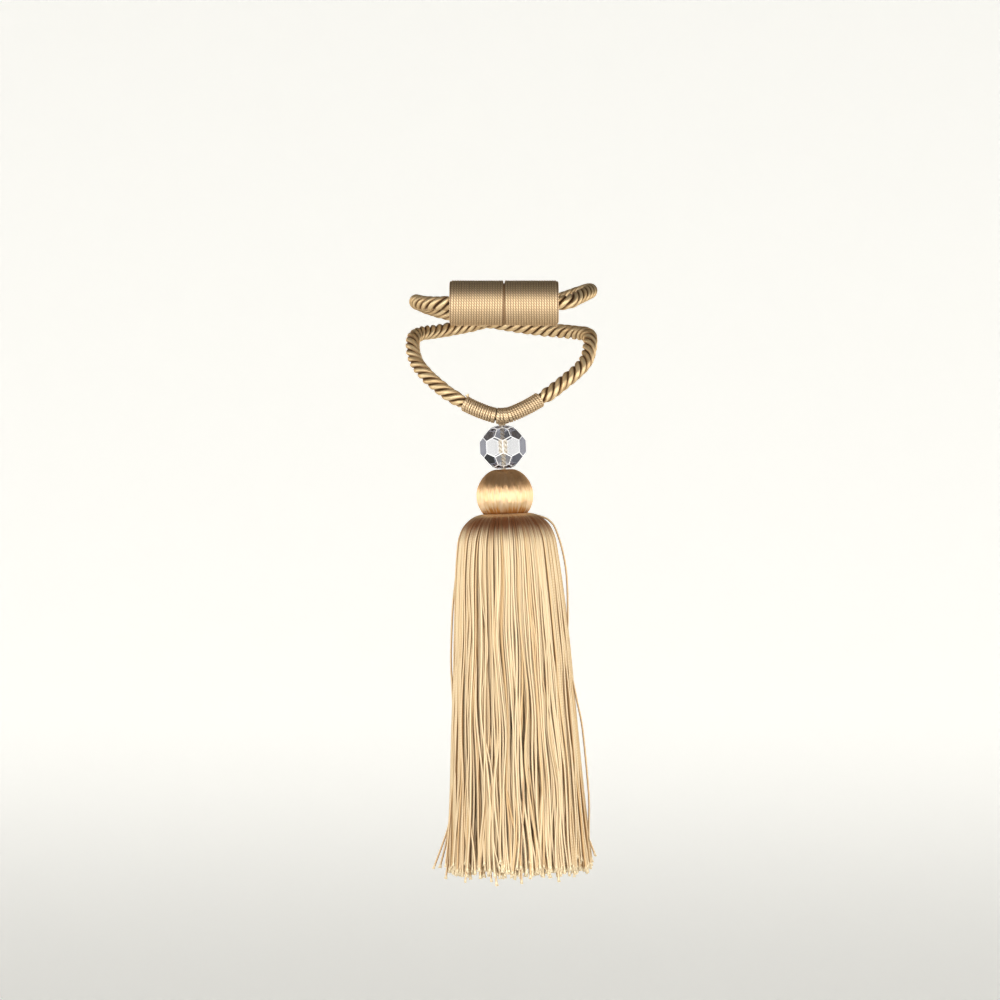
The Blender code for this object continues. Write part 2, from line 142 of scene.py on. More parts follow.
@dataclass
class Line:
    """A middle line with a frame at each point that turns as little as it can."""

    points: ndarray

    def __post_init__(self) -> None:
        """Measures the line and carries one normal along it."""
        self.along = distances(self.points)
        self.length = float(self.along[-1])
        self.tangent = unit(np.gradient(self.points, self.along, axis=0))
        normal = unit(np.cross(self.tangent[0], (0.0, 0.0, 1.0)))
        carried = []
        for tangent in self.tangent:
            normal = unit(normal - tangent * np.dot(normal, tangent))
            carried.append(normal)
        self.normal = np.array(carried)

    def at(self, where: ndarray, turn: ndarray | float = 0.0) -> tuple[ndarray, ndarray, ndarray]:
        """Places on the line.

        Args:
            where: distances along it.
            turn: how far round the line its outward direction has turned there, in radians.

        Returns:
            Places, outward directions and tangents, a row for each distance.
        """
        place, tangent, normal = (
            np.stack([np.interp(where, self.along, row[:, axis]) for axis in range(3)], axis=1)
            for row in (self.points, self.tangent, self.normal)
        )
        tangent = unit(tangent)
        normal = unit(normal - tangent * np.sum(normal * tangent, axis=1, keepdims=True))
        turn = np.broadcast_to(turn, len(where))[:, None]
        return place, normal * np.cos(turn) + np.cross(tangent, normal) * np.sin(turn), tangent


def add_attribute(mesh: Mesh, name: str, domain: str, values: list[float] | ndarray) -> None:
    """Stores one number for each of the mesh's points or faces under that name."""
    mesh.attributes.new(name, "FLOAT", domain).data.foreach_set("value", values)


class TubeMesh:
    """Collects tubes and makes them one mesh, with UV (metres along, share of the girth) and YARN_MARKS."""

    def __init__(self, name: str) -> None:
        """Starts an empty mesh of that name."""
        self.name = name
        self.verts: list[ndarray] = []
        self.faces: list[list[int]] = []
        self.uvs: list[ndarray] = []
        self.marks: dict[str, list[ndarray]] = {name: [] for name in YARN_MARKS}
        self.count = 0

    def add(
        self, centres: ndarray, outward: ndarray, outline: ndarray,
        tone: float, fray: ndarray | float = 0.0, root: ndarray | float = 0.0,
    ) -> None:
        """Adds one closed tube.

        Args:
            centres: its middle line, a row for each ring.
            outward: the direction that the outline's first axis points in, a row for each ring.
            outline: the section's points, (points, 2), or one such set for each ring.
            tone: how light this yarn is dyed, 0 to 1.
            fray: how far each ring's fibres are cut open, 0 to 1.
            root: how deep each ring lies in the shade of its neighbours, 0 to 1.
        """
        rings, sides = len(centres), outline.shape[-2]
        tangent = unit(np.gradient(centres, axis=0))
        normal = unit(outward - tangent * np.sum(outward * tangent, axis=1, keepdims=True))
        side = np.cross(tangent, normal)
        section = np.broadcast_to(outline, (rings, sides, 2))
        verts = centres[:, None] + section[..., :1] * normal[:, None] + section[..., 1:] * side[:, None]
        self.verts.append(verts.reshape(-1, 3))
        along = distances(centres)

        ring, point = np.meshgrid(np.arange(rings - 1), np.arange(sides), indexing="ij")
        after = (point + 1) % sides
        here, ahead = self.count + ring * sides, self.count + (ring + 1) * sides
        quads = np.stack([here + point, here + after, ahead + after, ahead + point], axis=-1)
        self.faces.extend(quads.reshape(-1, 4).tolist())
        u = np.stack([along[ring], along[ring], along[ring + 1], along[ring + 1]], axis=-1)
        v = np.stack([point, point + 1, point + 1, point], axis=-1) / sides
        self.uvs.append(np.stack([u, v], axis=-1).reshape(-1, 2))
        last = self.count + (rings - 1) * sides
        for first, facing, u_end in ((self.count, -1, along[0]), (last, 1, along[-1])):
            self.faces.append(list(range(first, first + sides))[::facing])
            self.uvs.append(np.tile((u_end, 0.5), (sides, 1)))

        for marks, values in zip(self.marks.values(), (tone, fray, root)):
            marks.append(np.repeat(np.broadcast_to(values, rings), sides))
        self.count += rings * sides

    def build(self) -> Object:
        """Makes the mesh object, smooth all over, and links it to the scene."""
        mesh = bpy.data.meshes.new(self.name)
        mesh.from_pydata(np.concatenate(self.verts).tolist(), [], self.faces)
        mesh.uv_layers.new(name=UV_NAME).data.foreach_set("uv", np.concatenate(self.uvs).ravel())
        for name, values in self.marks.items():
            add_attribute(mesh, name, "POINT", np.concatenate(values))
        made = bpy.data.objects.new(self.name, mesh)
        bpy.context.scene.collection.objects.link(made)
        mesh.shade_smooth()
        return made


def oval(width: float, height: float, points: int, lobes: int = 0, depth: float = 0.0) -> ndarray:
    """A yarn's section.

    Args:
        width: its size across the outward direction.
        height: its size along it.
        points: how many points it has.
        lobes: how many plies show round it.
        depth: how far the valleys between them go in, as a share of the radius.

    Returns:
        The points, (points, 2), outward first. The first one faces inward, where the UV seam is hidden.
    """
    angle = math.tau * np.arange(points) / points + math.pi
    radius = 1.0 - depth * (0.5 - 0.5 * np.cos(lobes * angle))
    return np.stack([radius * np.cos(angle) * height / 2, radius * np.sin(angle) * width / 2], axis=1)


# --- Finishes ---


def linear(hex_colour: str) -> tuple[float, float, float, float]:
    """The linear colour, with alpha, of an sRGB hex value such as "#C8A06A"."""
    shares = [int(hex_colour[i : i + 2], 16) / 255 for i in (1, 3, 5)]
    return (*(s / 12.92 if s <= 0.04045 else ((s + 0.055) / 1.055) ** 2.4 for s in shares), 1.0)


def set_node(node: Node, values: dict[str | int, object]) -> None:
    """Gives a node its settings and links.

    Args:
        node: the node.
        values: its properties, and its inputs by name or number: a value, or the socket that feeds it.
    """
    for key, value in values.items():
        if isinstance(value, NodeSocket):
            node.id_data.links.new(value, node.inputs[key])
        elif isinstance(key, int) or key in node.inputs:
            node.inputs[key].default_value = value
        else:
            setattr(node, key, value)


def add_node(tree: NodeTree, kind: str, values: dict[str | int, object], out: str | int = 0) -> NodeSocket:
    """Adds a node with its settings and links.

    Args:
        tree: the material's nodes.
        kind: the node's type, less its "ShaderNode", and then its operation where it has one.
        values: as in set_node.
        out: the output that is wanted, by name or number.

    Returns:
        That output.
    """
    kind, _, operation = kind.partition(" ")
    node = tree.nodes.new(f"ShaderNode{kind}")
    set_node(node, {"operation": operation, **values} if operation else values)
    return node.outputs[out]


def new_material(name: str) -> tuple[Material, Node, Callable[..., NodeSocket]]:
    """A material with a bare Principled shader: the material, the shader, and add_node for its tree."""
    material = bpy.data.materials.new(name)
    material.use_nodes = True
    return material, material.node_tree.nodes["Principled BSDF"], partial(add_node, material.node_tree)


@dataclass(frozen=True)
class SatinYarn:
    """Viscose rayon filament yarn, twisted from plies: smooth bright fibres that lie side by side.

    To the eye it shines in a band across the fibres and falls off fast along them; the brown shade in its
    valleys is painted.
    """

    name: str
    light: str  # of the palest yarns
    dark: str  # of the deepest dyed ones
    valley: str  # between the plies and in the shade of the neighbours
    cut: str  # of cut fibre ends, which scatter light
    roughness: float
    gloss: float  # the metal share, which tints the highlight with the dye
    anisotropy: float
    plies: float  # marks round the girth; a winding's are set so that they meet from turn to turn
    ply_mark_mm: float  # from one ply's mark to the next along the yarn
    ply_relief_mm: float
    lay: Lay
    mark_depth: float = 0.35  # how much of the valley's painted shade the ply marks take, in the grooves between the plies
    flank_from: float = 0.14  # where the painted shade on the flanks begins, as a share of the girth from the crest
    flank_to: float = 0.30
    flank_depth: float = 0.60
    gathered: str = "#7C4828"  # painted shade, as deep as the root attribute says the yarn lies in its neighbours' shade
    fibre_mm: float = 0.22  # streaks of a few filaments; single ones are too fine to show
    fibre_run_mm: float = 9.0
    own_phase: float = 97.0  # radians of twist between the palest yarn and the deepest, so that no two match
    own_grain: Triple = (40.0, 60.0, 90.0)  # likewise for the streaks, in their lengths
    dye_streaks: float = 0.7  # how much the streaks lighten a yarn
    streak_relief: float = 0.45  # how high they stand, against the plies

    def build(self) -> Material:
        """Makes the material, which reads the yarn's UV and its tone, fray and root."""
        material, shader, node = new_material(self.name)
        uv = node("UVMap", {"uv_map": UV_NAME})
        along, around = (node("SeparateXYZ", {0: uv}, axis) for axis in "XY")
        tone, fray, root = (node("Attribute", {"attribute_name": name}, "Fac") for name in YARN_MARKS)
        run, girth = math.tau / (self.ply_mark_mm * MM), -self.lay.value * math.tau * self.plies
        twist = node("Math MULTIPLY", {0: along, 1: run})
        twist = node("Math MULTIPLY_ADD", {0: around, 1: girth, 2: twist})
        twist = node("Math MULTIPLY_ADD", {0: tone, 1: self.own_phase, 2: twist})
        wave = node("Math COSINE", {0: twist})
        mark = node("MapRange", {"Value": wave, "From Min": -1.0, "From Max": 0.6})
        stretch = (1 / (self.fibre_run_mm * MM), 3.5 / self.fibre_mm, 1.0)
        place = node("VectorMath MULTIPLY", {0: uv, 1: stretch})
        apart = node("VectorMath MULTIPLY", {0: tone, 1: self.own_grain})
        place = node("VectorMath ADD", {0: place, 1: apart})
        grain = node("TexNoise", {"Vector": place, "Scale": 1.0, "Detail": 3.0, "Roughness": 0.6})
        dye = node("Math MULTIPLY_ADD", {"use_clamp": True, 0: grain, 1: self.dye_streaks, 2: tone})
        # Painted shade: in the grooves of the ply marks, and on the flanks where the neighbours' shade falls.
        painted_mark_shade = node("MapRange", {"Value": mark, "To Min": self.mark_depth, "To Max": 0.0})
        off_crest = node("Math SUBTRACT", {0: around, 1: 0.5})
        off_crest = node("Math ABSOLUTE", {0: off_crest})
        painted_flank_shade = node("MapRange", {
            "interpolation_type": "SMOOTHSTEP", "Value": off_crest,
            "From Min": self.flank_from, "From Max": self.flank_to, "To Max": self.flank_depth,
        })
        # The dye's tone, then painted shade in the valleys and where the root attribute says, then the pale
        # cut ends.
        colour = linear(self.dark)
        for share, over in (
            (node("MapRange", {"Value": dye, "From Min": 0.35, "From Max": 1.35}), self.light),
            (node("Math MAXIMUM", {0: painted_mark_shade, 1: painted_flank_shade}), self.valley),
            (root, self.gathered),
            (fray, self.cut),
        ):
            mix = {"data_type": "RGBA", 0: share, MIX_A: colour, MIX_B: linear(over)}
            colour = node("Mix", mix, MIX_RESULT)
        height = node("Math MULTIPLY_ADD", {0: grain, 1: self.streak_relief, 2: mark})
        relief = {"Height": height, "Strength": 1.0, "Distance": self.ply_relief_mm * MM}
        set_node(shader, {
            "Base Color": colour, "Roughness": self.roughness, "Metallic": self.gloss,
            "Anisotropic": self.anisotropy, "Anisotropic Rotation": 0.25,  # a quarter turn: across
            "Specular IOR Level": 0.3, "Specular Tint": linear(self.dark),
            "Sheen Weight": 0.06, "Sheen Roughness": 0.4, "Sheen Tint": linear(self.dark),
            "Normal": node("Bump", relief), "Tangent": node("Tangent", UV_TANGENT),
        })
        return material


@dataclass(frozen=True)
class SatinFloss:
    """Untwisted viscose rayon floss laid from pole to pole over a turned wooden ball.

    All its fibres lie one way, so the eye sees one bright, ragged band across them, and brown above it. The
    crown's brown and the neck's deeper tone are painted shade as well.
    """

    name: str
    light: str
    dark: str
    gathered: str  # painted shade at the neck, where the floss is drawn together
    crown: str  # painted shade on the upper side, whose fibres mirror the dim ceiling; also the highlight's edge tint
    gloss: float
    anisotropy: float
    smooth: float  # roughness of the flattest bundles
    rough: float  # and of the loosest
    streaks_round: float = 15.0  # bundles of fibres in a radian; single fibres are too fine to show
    run_mm: float = 14.0
    relief_mm: float = 0.10
    ragged_mm: float = 5.0  # how far the streaks pull the edges of the painted shade up and down

    def build(self, to_ball: Matrix, neck: float, top: float) -> Material:
        """Makes the material.

        Args:
            to_ball: turns object coordinates into the ball's own, its centre at 0 and its axis along Z.
            neck: the height of the neck in those.
            top: the height of its top.

        Returns:
            The material.
        """
        material, shader, node = new_material(self.name)
        place = node("Mapping", {
            "Vector": node("TexCoord", {}, "Object"),
            "Location": tuple(to_ball.translation), "Rotation": tuple(to_ball.to_euler()),
        })
        way = node("VectorMath MULTIPLY", {0: place, 1: (1.0, 1.0, 0.0)})
        way = node("VectorMath NORMALIZE", {0: way})
        around = (self.streaks_round, self.streaks_round, 0.0)
        way = node("VectorMath MULTIPLY", {0: way, 1: around})
        run = (0.0, 0.0, 1 / (self.run_mm * MM))
        run = node("VectorMath MULTIPLY", {0: place, 1: run})
        way = node("VectorMath ADD", {0: way, 1: run})
        fibres = node("TexNoise", {"Vector": way, "Scale": 1.0, "Detail": 4.0, "Roughness": 0.65})
        streak = node("MapRange", {"Value": fibres, "From Min": 0.34, "From Max": 0.66})
        height = node("SeparateXYZ", {0: place}, "Z")
        ragged = node("Math MULTIPLY_ADD", {0: streak, 1: self.ragged_mm * MM, 2: height})
        # Painted shade on the crown and at the neck: where it starts and is full, and its share there.
        shares, mean = [streak], 0.5 * self.ragged_mm * MM
        for starts, full, most in ((0.20 * top, 0.36 * top, 0.72), (neck + 2.8 * MM, neck, 0.9)):
            shares.append(node("MapRange", {
                "interpolation_type": "SMOOTHSTEP", "Value": ragged,
                "From Min": mean + starts, "From Max": mean + full, "To Max": most,
            }))
        colour = linear(self.dark)
        for share, over in zip(shares, (self.light, self.crown, self.gathered)):
            mix = {"data_type": "RGBA", 0: share, MIX_A: colour, MIX_B: linear(over)}
            colour = node("Mix", mix, MIX_RESULT)
        relief = {"Height": streak, "Strength": 0.8, "Distance": self.relief_mm * MM}
        loose = {"Value": streak, "To Min": self.smooth, "To Max": self.rough}
        set_node(shader, {
            "Base Color": colour, "Roughness": node("MapRange", loose), "Metallic": self.gloss,
            "Anisotropic": self.anisotropy, "Specular Tint": linear(self.crown),
            "Normal": node("Bump", relief), "Tangent": node("Tangent", UV_TANGENT),
        })
        return material


@dataclass(frozen=True)
class CutGlass:
    """Lead-free crystal glass, ground to flat facets and polished.

    The eye sees through it, each facet at another brightness from a painted reflection, with white edges
    where they meet.
    """

    name: str = "Crystal glass, ground and polished"
    clear: str = "#FFFFFF"
    deep: str = "#3A3B45"  # painted reflection: of a facet that shows the dark side of the room
    edge: str = "#FFFFFF"
    ior: float = 1.36  # under lead-free crystal's 1.54, so that the cord keeps its place behind the facets
    roughness: float = 0.01
    rim: float = 0.95  # how much deeper the painted reflection is on a facet that is seen from the side
    hairline_mm: float = 2.5  # spacing of the faint polishing marks
    through_edge: float = 0.35  # the light that a ground edge lets through

    def build(self) -> Material:
        """Makes the material, which reads each face's painted reflection (its depth) and whether it is a
        ground edge.
        """
        material, shader, node = new_material(self.name)
        marks = node("TexNoise", {
            "Vector": node("TexCoord", {}, "Object"),
            "Scale": 1 / (self.hairline_mm * MM), "Detail": 2.0,
        })
        # Painted reflection: each facet's tone from its row, deeper where the facet is seen aslant.
        depth, edge = (node("Attribute", {"attribute_name": name}, "Fac") for name in ("depth", "edge"))
        aslant = node("LayerWeight", {"Blend": 0.5}, "Facing")
        depth = node("Math MULTIPLY_ADD", {"use_clamp": True, 0: aslant, 1: self.rim, 2: depth})
        colour = linear(self.clear)
        for share, over in ((depth, self.deep), (edge, self.edge)):
            mix = {"data_type": "RGBA", 0: share, MIX_A: colour, MIX_B: linear(over)}
            colour = node("Mix", mix, MIX_RESULT)
        through = node("MapRange", {"Value": edge, "To Min": 1.0, "To Max": self.through_edge})
        set_node(shader, {
            "Base Color": colour, "IOR": self.ior, "Roughness": self.roughness,
            "Transmission Weight": through,
            "Normal": node("Bump", {"Height": marks, "Strength": 0.05, "Distance": 0.01 * MM}),
        })
        return material


@dataclass(frozen=True)
class MouldedPlastic:
    """ABS, injection moulded and left as it comes: satin, with a very fine orange-peel skin."""

    name: str = "ABS, injection moulded, tan"
    colour: str = "#B08A58"
    darker: str = "#9A7646"
    roughness: float = 0.45
    peel_mm: float = 0.8

    def build(self) -> Material:
        """Makes the material."""
        material, shader, node = new_material(self.name)
        peel = node("TexNoise", {
            "Vector": node("TexCoord", {}, "Object"),
            "Scale": 1 / (self.peel_mm * MM), "Detail": 2.0,
        })
        mix = {"data_type": "RGBA", 0: peel, MIX_A: linear(self.darker), MIX_B: linear(self.colour)}
        set_node(shader, {
            "Base Color": node("Mix", mix, MIX_RESULT), "Roughness": self.roughness,
            "Normal": node("Bump", {"Height": peel, "Strength": 0.3, "Distance": 0.02 * MM}),
        })
        return material


@dataclass(frozen=True)
class BackdropPaper:
    """Seamless background paper, matt, lit from behind so that it stays one pale tone all round."""

    name: str = "Background paper, matt, pale"
    colour: str = "#F1F0EC"
    roughness: float = 0.9
    floor_glow: float = 0.30
    wall_glow: float = 0.56

    def build(self, floor: float, wall: float) -> Material:
        """Makes the material.

        Args:
            floor: the height where it is dimmest.
            wall: the height from which it is brightest.

        Returns:
            The material.
        """
        material, shader, node = new_material(self.name)
        material.cycles.emission_sampling = "NONE"
        height = node("SeparateXYZ", {0: node("TexCoord", {}, "Object")}, "Z")
        glow = node("MapRange", {
            "interpolation_type": "SMOOTHSTEP", "Value": height, "From Min": floor, "From Max": wall,
            "To Min": self.floor_glow, "To Max": self.wall_glow,
        })
        paper = linear(self.colour)
        set_node(shader, {
            "Base Color": paper, "Roughness": self.roughness,
            "Emission Color": paper, "Emission Strength": glow,
        })
        return material


# A yarn's valley and gathered colours, and the floss's crown and gathered colours, are painted shade; light
# and dark are the dye.
ROPE_SILK = SatinYarn(
    name="Viscose rayon, four-strand twisted rope",
    light="#F4DFB4", dark="#BC9664", valley="#583214", cut="#E4CD9E",
    roughness=0.35, gloss=0.65, anisotropy=0.60, plies=1, ply_mark_mm=14.0, ply_relief_mm=0.06, lay=Lay.Z,
    mark_depth=0.10, flank_from=0.05, flank_to=0.23, flank_depth=0.88,
)
WINDING_THREAD = SatinYarn(
    name="Viscose rayon, plied winding thread",
    light="#F2E0BC", dark="#D8B486", valley="#5C2C12", cut="#F0DCB4",
    roughness=0.46, gloss=0.80, anisotropy=0.72, plies=2.44, ply_mark_mm=1.3563, ply_relief_mm=0.09,
    lay=Lay.S, mark_depth=0.55, flank_from=0.12, flank_to=0.20, flank_depth=0.72,
)
SKIRT_YARN = SatinYarn(
    name="Viscose rayon, two-ply tassel yarn",
    light="#E4D5B4", dark="#CCAD80", valley="#925A24", cut="#F2E2C0",
    roughness=0.44, gloss=0.48, anisotropy=0.80, plies=2, ply_mark_mm=1.4, ply_relief_mm=0.05, lay=Lay.Z,
    mark_depth=0.20, flank_from=0.12, flank_to=0.28, flank_depth=0.62,
)
CORD_YARN = SatinYarn(
    name="Viscose rayon, two-ply twisted cord",
    light="#FFFAEC", dark="#F6E8CA", valley="#A07846", cut="#F6ECD4",
    roughness=0.46, gloss=0.20, anisotropy=0.60, plies=1, ply_mark_mm=2.2, ply_relief_mm=0.05, lay=Lay.Z,
    mark_depth=0.20,
)
BALL_FLOSS = SatinFloss(
    name="Viscose rayon floss, laid over a ball",
    light="#F0D4B0", dark="#DEB680", gathered="#D2924C", crown="#C49464", gloss=0.80, anisotropy=1.0,
    smooth=0.33, rough=0.56,
)


# --- Shared steps of modelling ---


def deselect_all() -> None:
    """Leaves nothing selected, in object mode."""
    if bpy.context.object and bpy.context.object.mode != "OBJECT":
        end_edit()
    bpy.ops.object.select_all(action="DESELECT")


def edit(piece: Object, kind: str, chosen: list[int] | None = None) -> None:
    """Goes into edit mode.

    Args:
        piece: the object, which becomes the only one selected.
        kind: "VERT", "EDGE" or "FACE".
        chosen: the numbers of the parts that are selected, or None for the whole mesh.
    """
    deselect_all()
    piece.select_set(True)
    bpy.context.view_layer.objects.active = piece
    bpy.ops.object.mode_set(mode="EDIT")
    bpy.ops.mesh.select_mode(type=kind)
    bpy.ops.mesh.select_all(action="SELECT" if chosen is None else "DESELECT")
    end_edit()
    parts = {"VERT": piece.data.vertices, "EDGE": piece.data.edges, "FACE": piece.data.polygons}[kind]
    for number in chosen or ():
        parts[number].select = True
    bpy.ops.object.mode_set(mode="EDIT")


def face_outward() -> None:
    """Selects all faces and turns them outward."""
    bpy.ops.mesh.select_all(action="SELECT")
    bpy.ops.mesh.normals_make_consistent(inside=False)


def end_edit() -> None:
    """Goes back to object mode."""
    bpy.ops.object.mode_set(mode="OBJECT")


def draw_rim(rise: float, widen: float) -> None:
    """Extrudes the selected rim up, or down, and widens it."""
    bpy.ops.mesh.extrude_edges_move(TRANSFORM_OT_translate={"value": (0.0, 0.0, rise)})
    bpy.ops.transform.resize(value=(widen, widen, 1.0), center_override=(0.0, 0.0, 0.0))


def finish_piece(piece: Object, finish: Material, slot: str, *nodes: str) -> None:
    """Dresses a piece, sets it on the body and reports it.

    Args:
        piece: the object, with its place in its mesh.
        finish: its material.
        slot: a material slot's name; not used.
        nodes: the CAD nodes that it stands for.
    """
    piece.data.materials.clear()
    piece.data.materials.append(finish)
    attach(piece, BODY)
    if nodes:
        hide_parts(*nodes)
    triangles = sum(len(face.vertices) - 2 for face in piece.data.polygons)
    LOG.info("%-24s %7d triangles", piece.name, triangles)


@dataclass(frozen=True)
class TasselAxis:
    """The line that cord, bead, ball and skirt hang on; drops are measured down it from the rope's middle."""

    hang: Triple = ROPE_ROUTE[ROUTE_HANG_ROW]
    lean_deg: float = 2.3  # to the right as it goes down

    def matrix(self, drop: float = 0.0) -> Matrix:
        """The frame at a drop: Z up the axis, Y to the back."""
        turn = Matrix.Rotation(-math.radians(self.lean_deg), 4, "Y")
        return Matrix.Translation(self.hang) @ turn @ Matrix.Translation((0, 0, -drop))

    def turned(self, ways: ndarray) -> ndarray:
        """Directions of the axis's own frame in the row frame."""
        return ways @ np.array(self.matrix())[:3, :3].T

    def to_world(self, points: ndarray) -> ndarray:
        """Points of the axis's own frame in the row frame."""
        return self.turned(points) + np.array(self.matrix())[:3, 3]


AXIS = TasselAxis()


# --- Camera and rope ---


@dataclass(frozen=True)
class ViewCamera:
    """A long lens, level, in front of the curtain."""

    place: Triple = (-0.00208, -2.038, -0.1024)
    lens_mm: float = 138.46
    sensor_mm: float = 36.0
    sees: Pair = (0.05, 60.0)  # the nearest and the farthest that it shows

    def build(self) -> None:
        """Adds the camera and makes it the scene's."""
        deselect_all()
        bpy.ops.object.camera_add(location=self.place, rotation=(math.radians(90), 0.0, 0.0))
        camera = bpy.context.object
        camera.name = "view_camera"
        camera.data.lens, camera.data.sensor_width = self.lens_mm, self.sensor_mm
        camera.data.clip_start, camera.data.clip_end = self.sees
        bpy.context.scene.camera = camera


@dataclass
class TwistedRope:
    """The rope from barrel to barrel: four strands in S lay, each of four plies nearly straight along it."""

    bound: Pair  # how far from the hang point the bindings reach, before and after it
    diameter: float = ROPE_DIAMETER
    taper: float = 4.0 * MM  # past a binding, until the rope has its full thickness
    strands: int = 4
    strand_width: float = 3.10 * MM
    strand_height: float = 2.90 * MM
    lay_length: float = 19.8 * MM
    lay: Lay = Lay.S
    plies: int = 4
    ply_depth: float = 0.085
    ply_lay_length: float = 46.0 * MM
    wander: float = 0.05 * MM  # how far a strand stands out and in along the rope
    wander_run: Pair = (31.0 * MM, 6.0 * MM)  # one wave's length, and what each next strand's is longer
    ring_step: float = 0.80 * MM
    ring_points: int = 24
    seed: int = 3

    def __post_init__(self) -> None:
        """Lays the middle line and finds how far along it the tassel hangs."""
        self.line = Line(smooth_line(np.array(ROPE_ROUTE), ROUTE_STEPS))
        self.middle = float(self.line.along[ROUTE_HANG_ROW * ROUTE_STEPS])

    def build(self) -> None:
        length = self.line.length
        where = np.linspace(CLEARANCE, length - CLEARANCE, round(length / self.ring_step))
        past = np.abs(where - self.middle) - np.where(where < self.middle, *self.bound)
        free = np.clip(past / self.taper, 0.0, 1.0)[:, None]
        share = BOUND_DIAMETER / self.diameter
        thick = share + (1 - share) * free * free * (3 - 2 * free)
        reach = (self.diameter - self.strand_height) / 2 * thick
        angle = math.tau * np.arange(self.ring_points) / self.ring_points + math.pi
        tubes = TubeMesh("twisted_rope")
        chance = random.Random(self.seed)
        for strand in range(self.strands):
            turn = self.lay.value * math.tau * where / self.lay_length + math.tau * strand / self.strands
            place, outward, _ = self.line.at(where, turn)
            run = self.wander_run[0] + self.wander_run[1] * strand
            wander = self.wander * np.sin(math.tau * where / run + strand)[:, None]
            ply_turn = math.tau * where / self.ply_lay_length + chance.uniform(0, math.tau)
            wave = np.cos(self.plies * angle - ply_turn[:, None])
            radius = (1 - self.ply_depth * (0.5 - 0.5 * wave)) * thick
            outline = radius[..., None] * oval(self.strand_width, self.strand_height, self.ring_points)
            tubes.add(place + outward * (reach + wander), outward, outline, chance.uniform(0.35, 0.65))
        rope = tubes.build()
        finish_piece(rope, ROPE_SILK.build(), "rope_silk", "rope")
        path, *_ = self.line.at(np.linspace(0.0, length, 160))

    def wind(
        self, tubes: TubeMesh, ends: Pair, turns: float, steps: int,
        reach: float, outline: ndarray, tone: float,
    ) -> None:
        """Winds a thread round the rope, with its first and its last turn on the spot.

        Args:
            tubes: the piece that the thread belongs to.
            ends: where it begins and ends, from the hang point.
            turns: how many times it goes round.
            steps: rings to a turn.
            reach: from the rope's middle line to the thread's.
            outline: the thread's section.
            tone: the thread's tone.
        """
        angle = np.linspace(0.0, math.tau * turns, round(turns * steps))
        share = np.clip((angle - math.tau) / (angle[-1] - 2 * math.tau), 0.0, 1.0)
        where = self.middle + ends[0] + (ends[1] - ends[0]) * share
        place, outward, _ = self.line.at(where, angle * math.copysign(1, ends[1] - ends[0]))
        tubes.add(place + outward * reach, outward, outline, tone)


# --- Thread windings ---


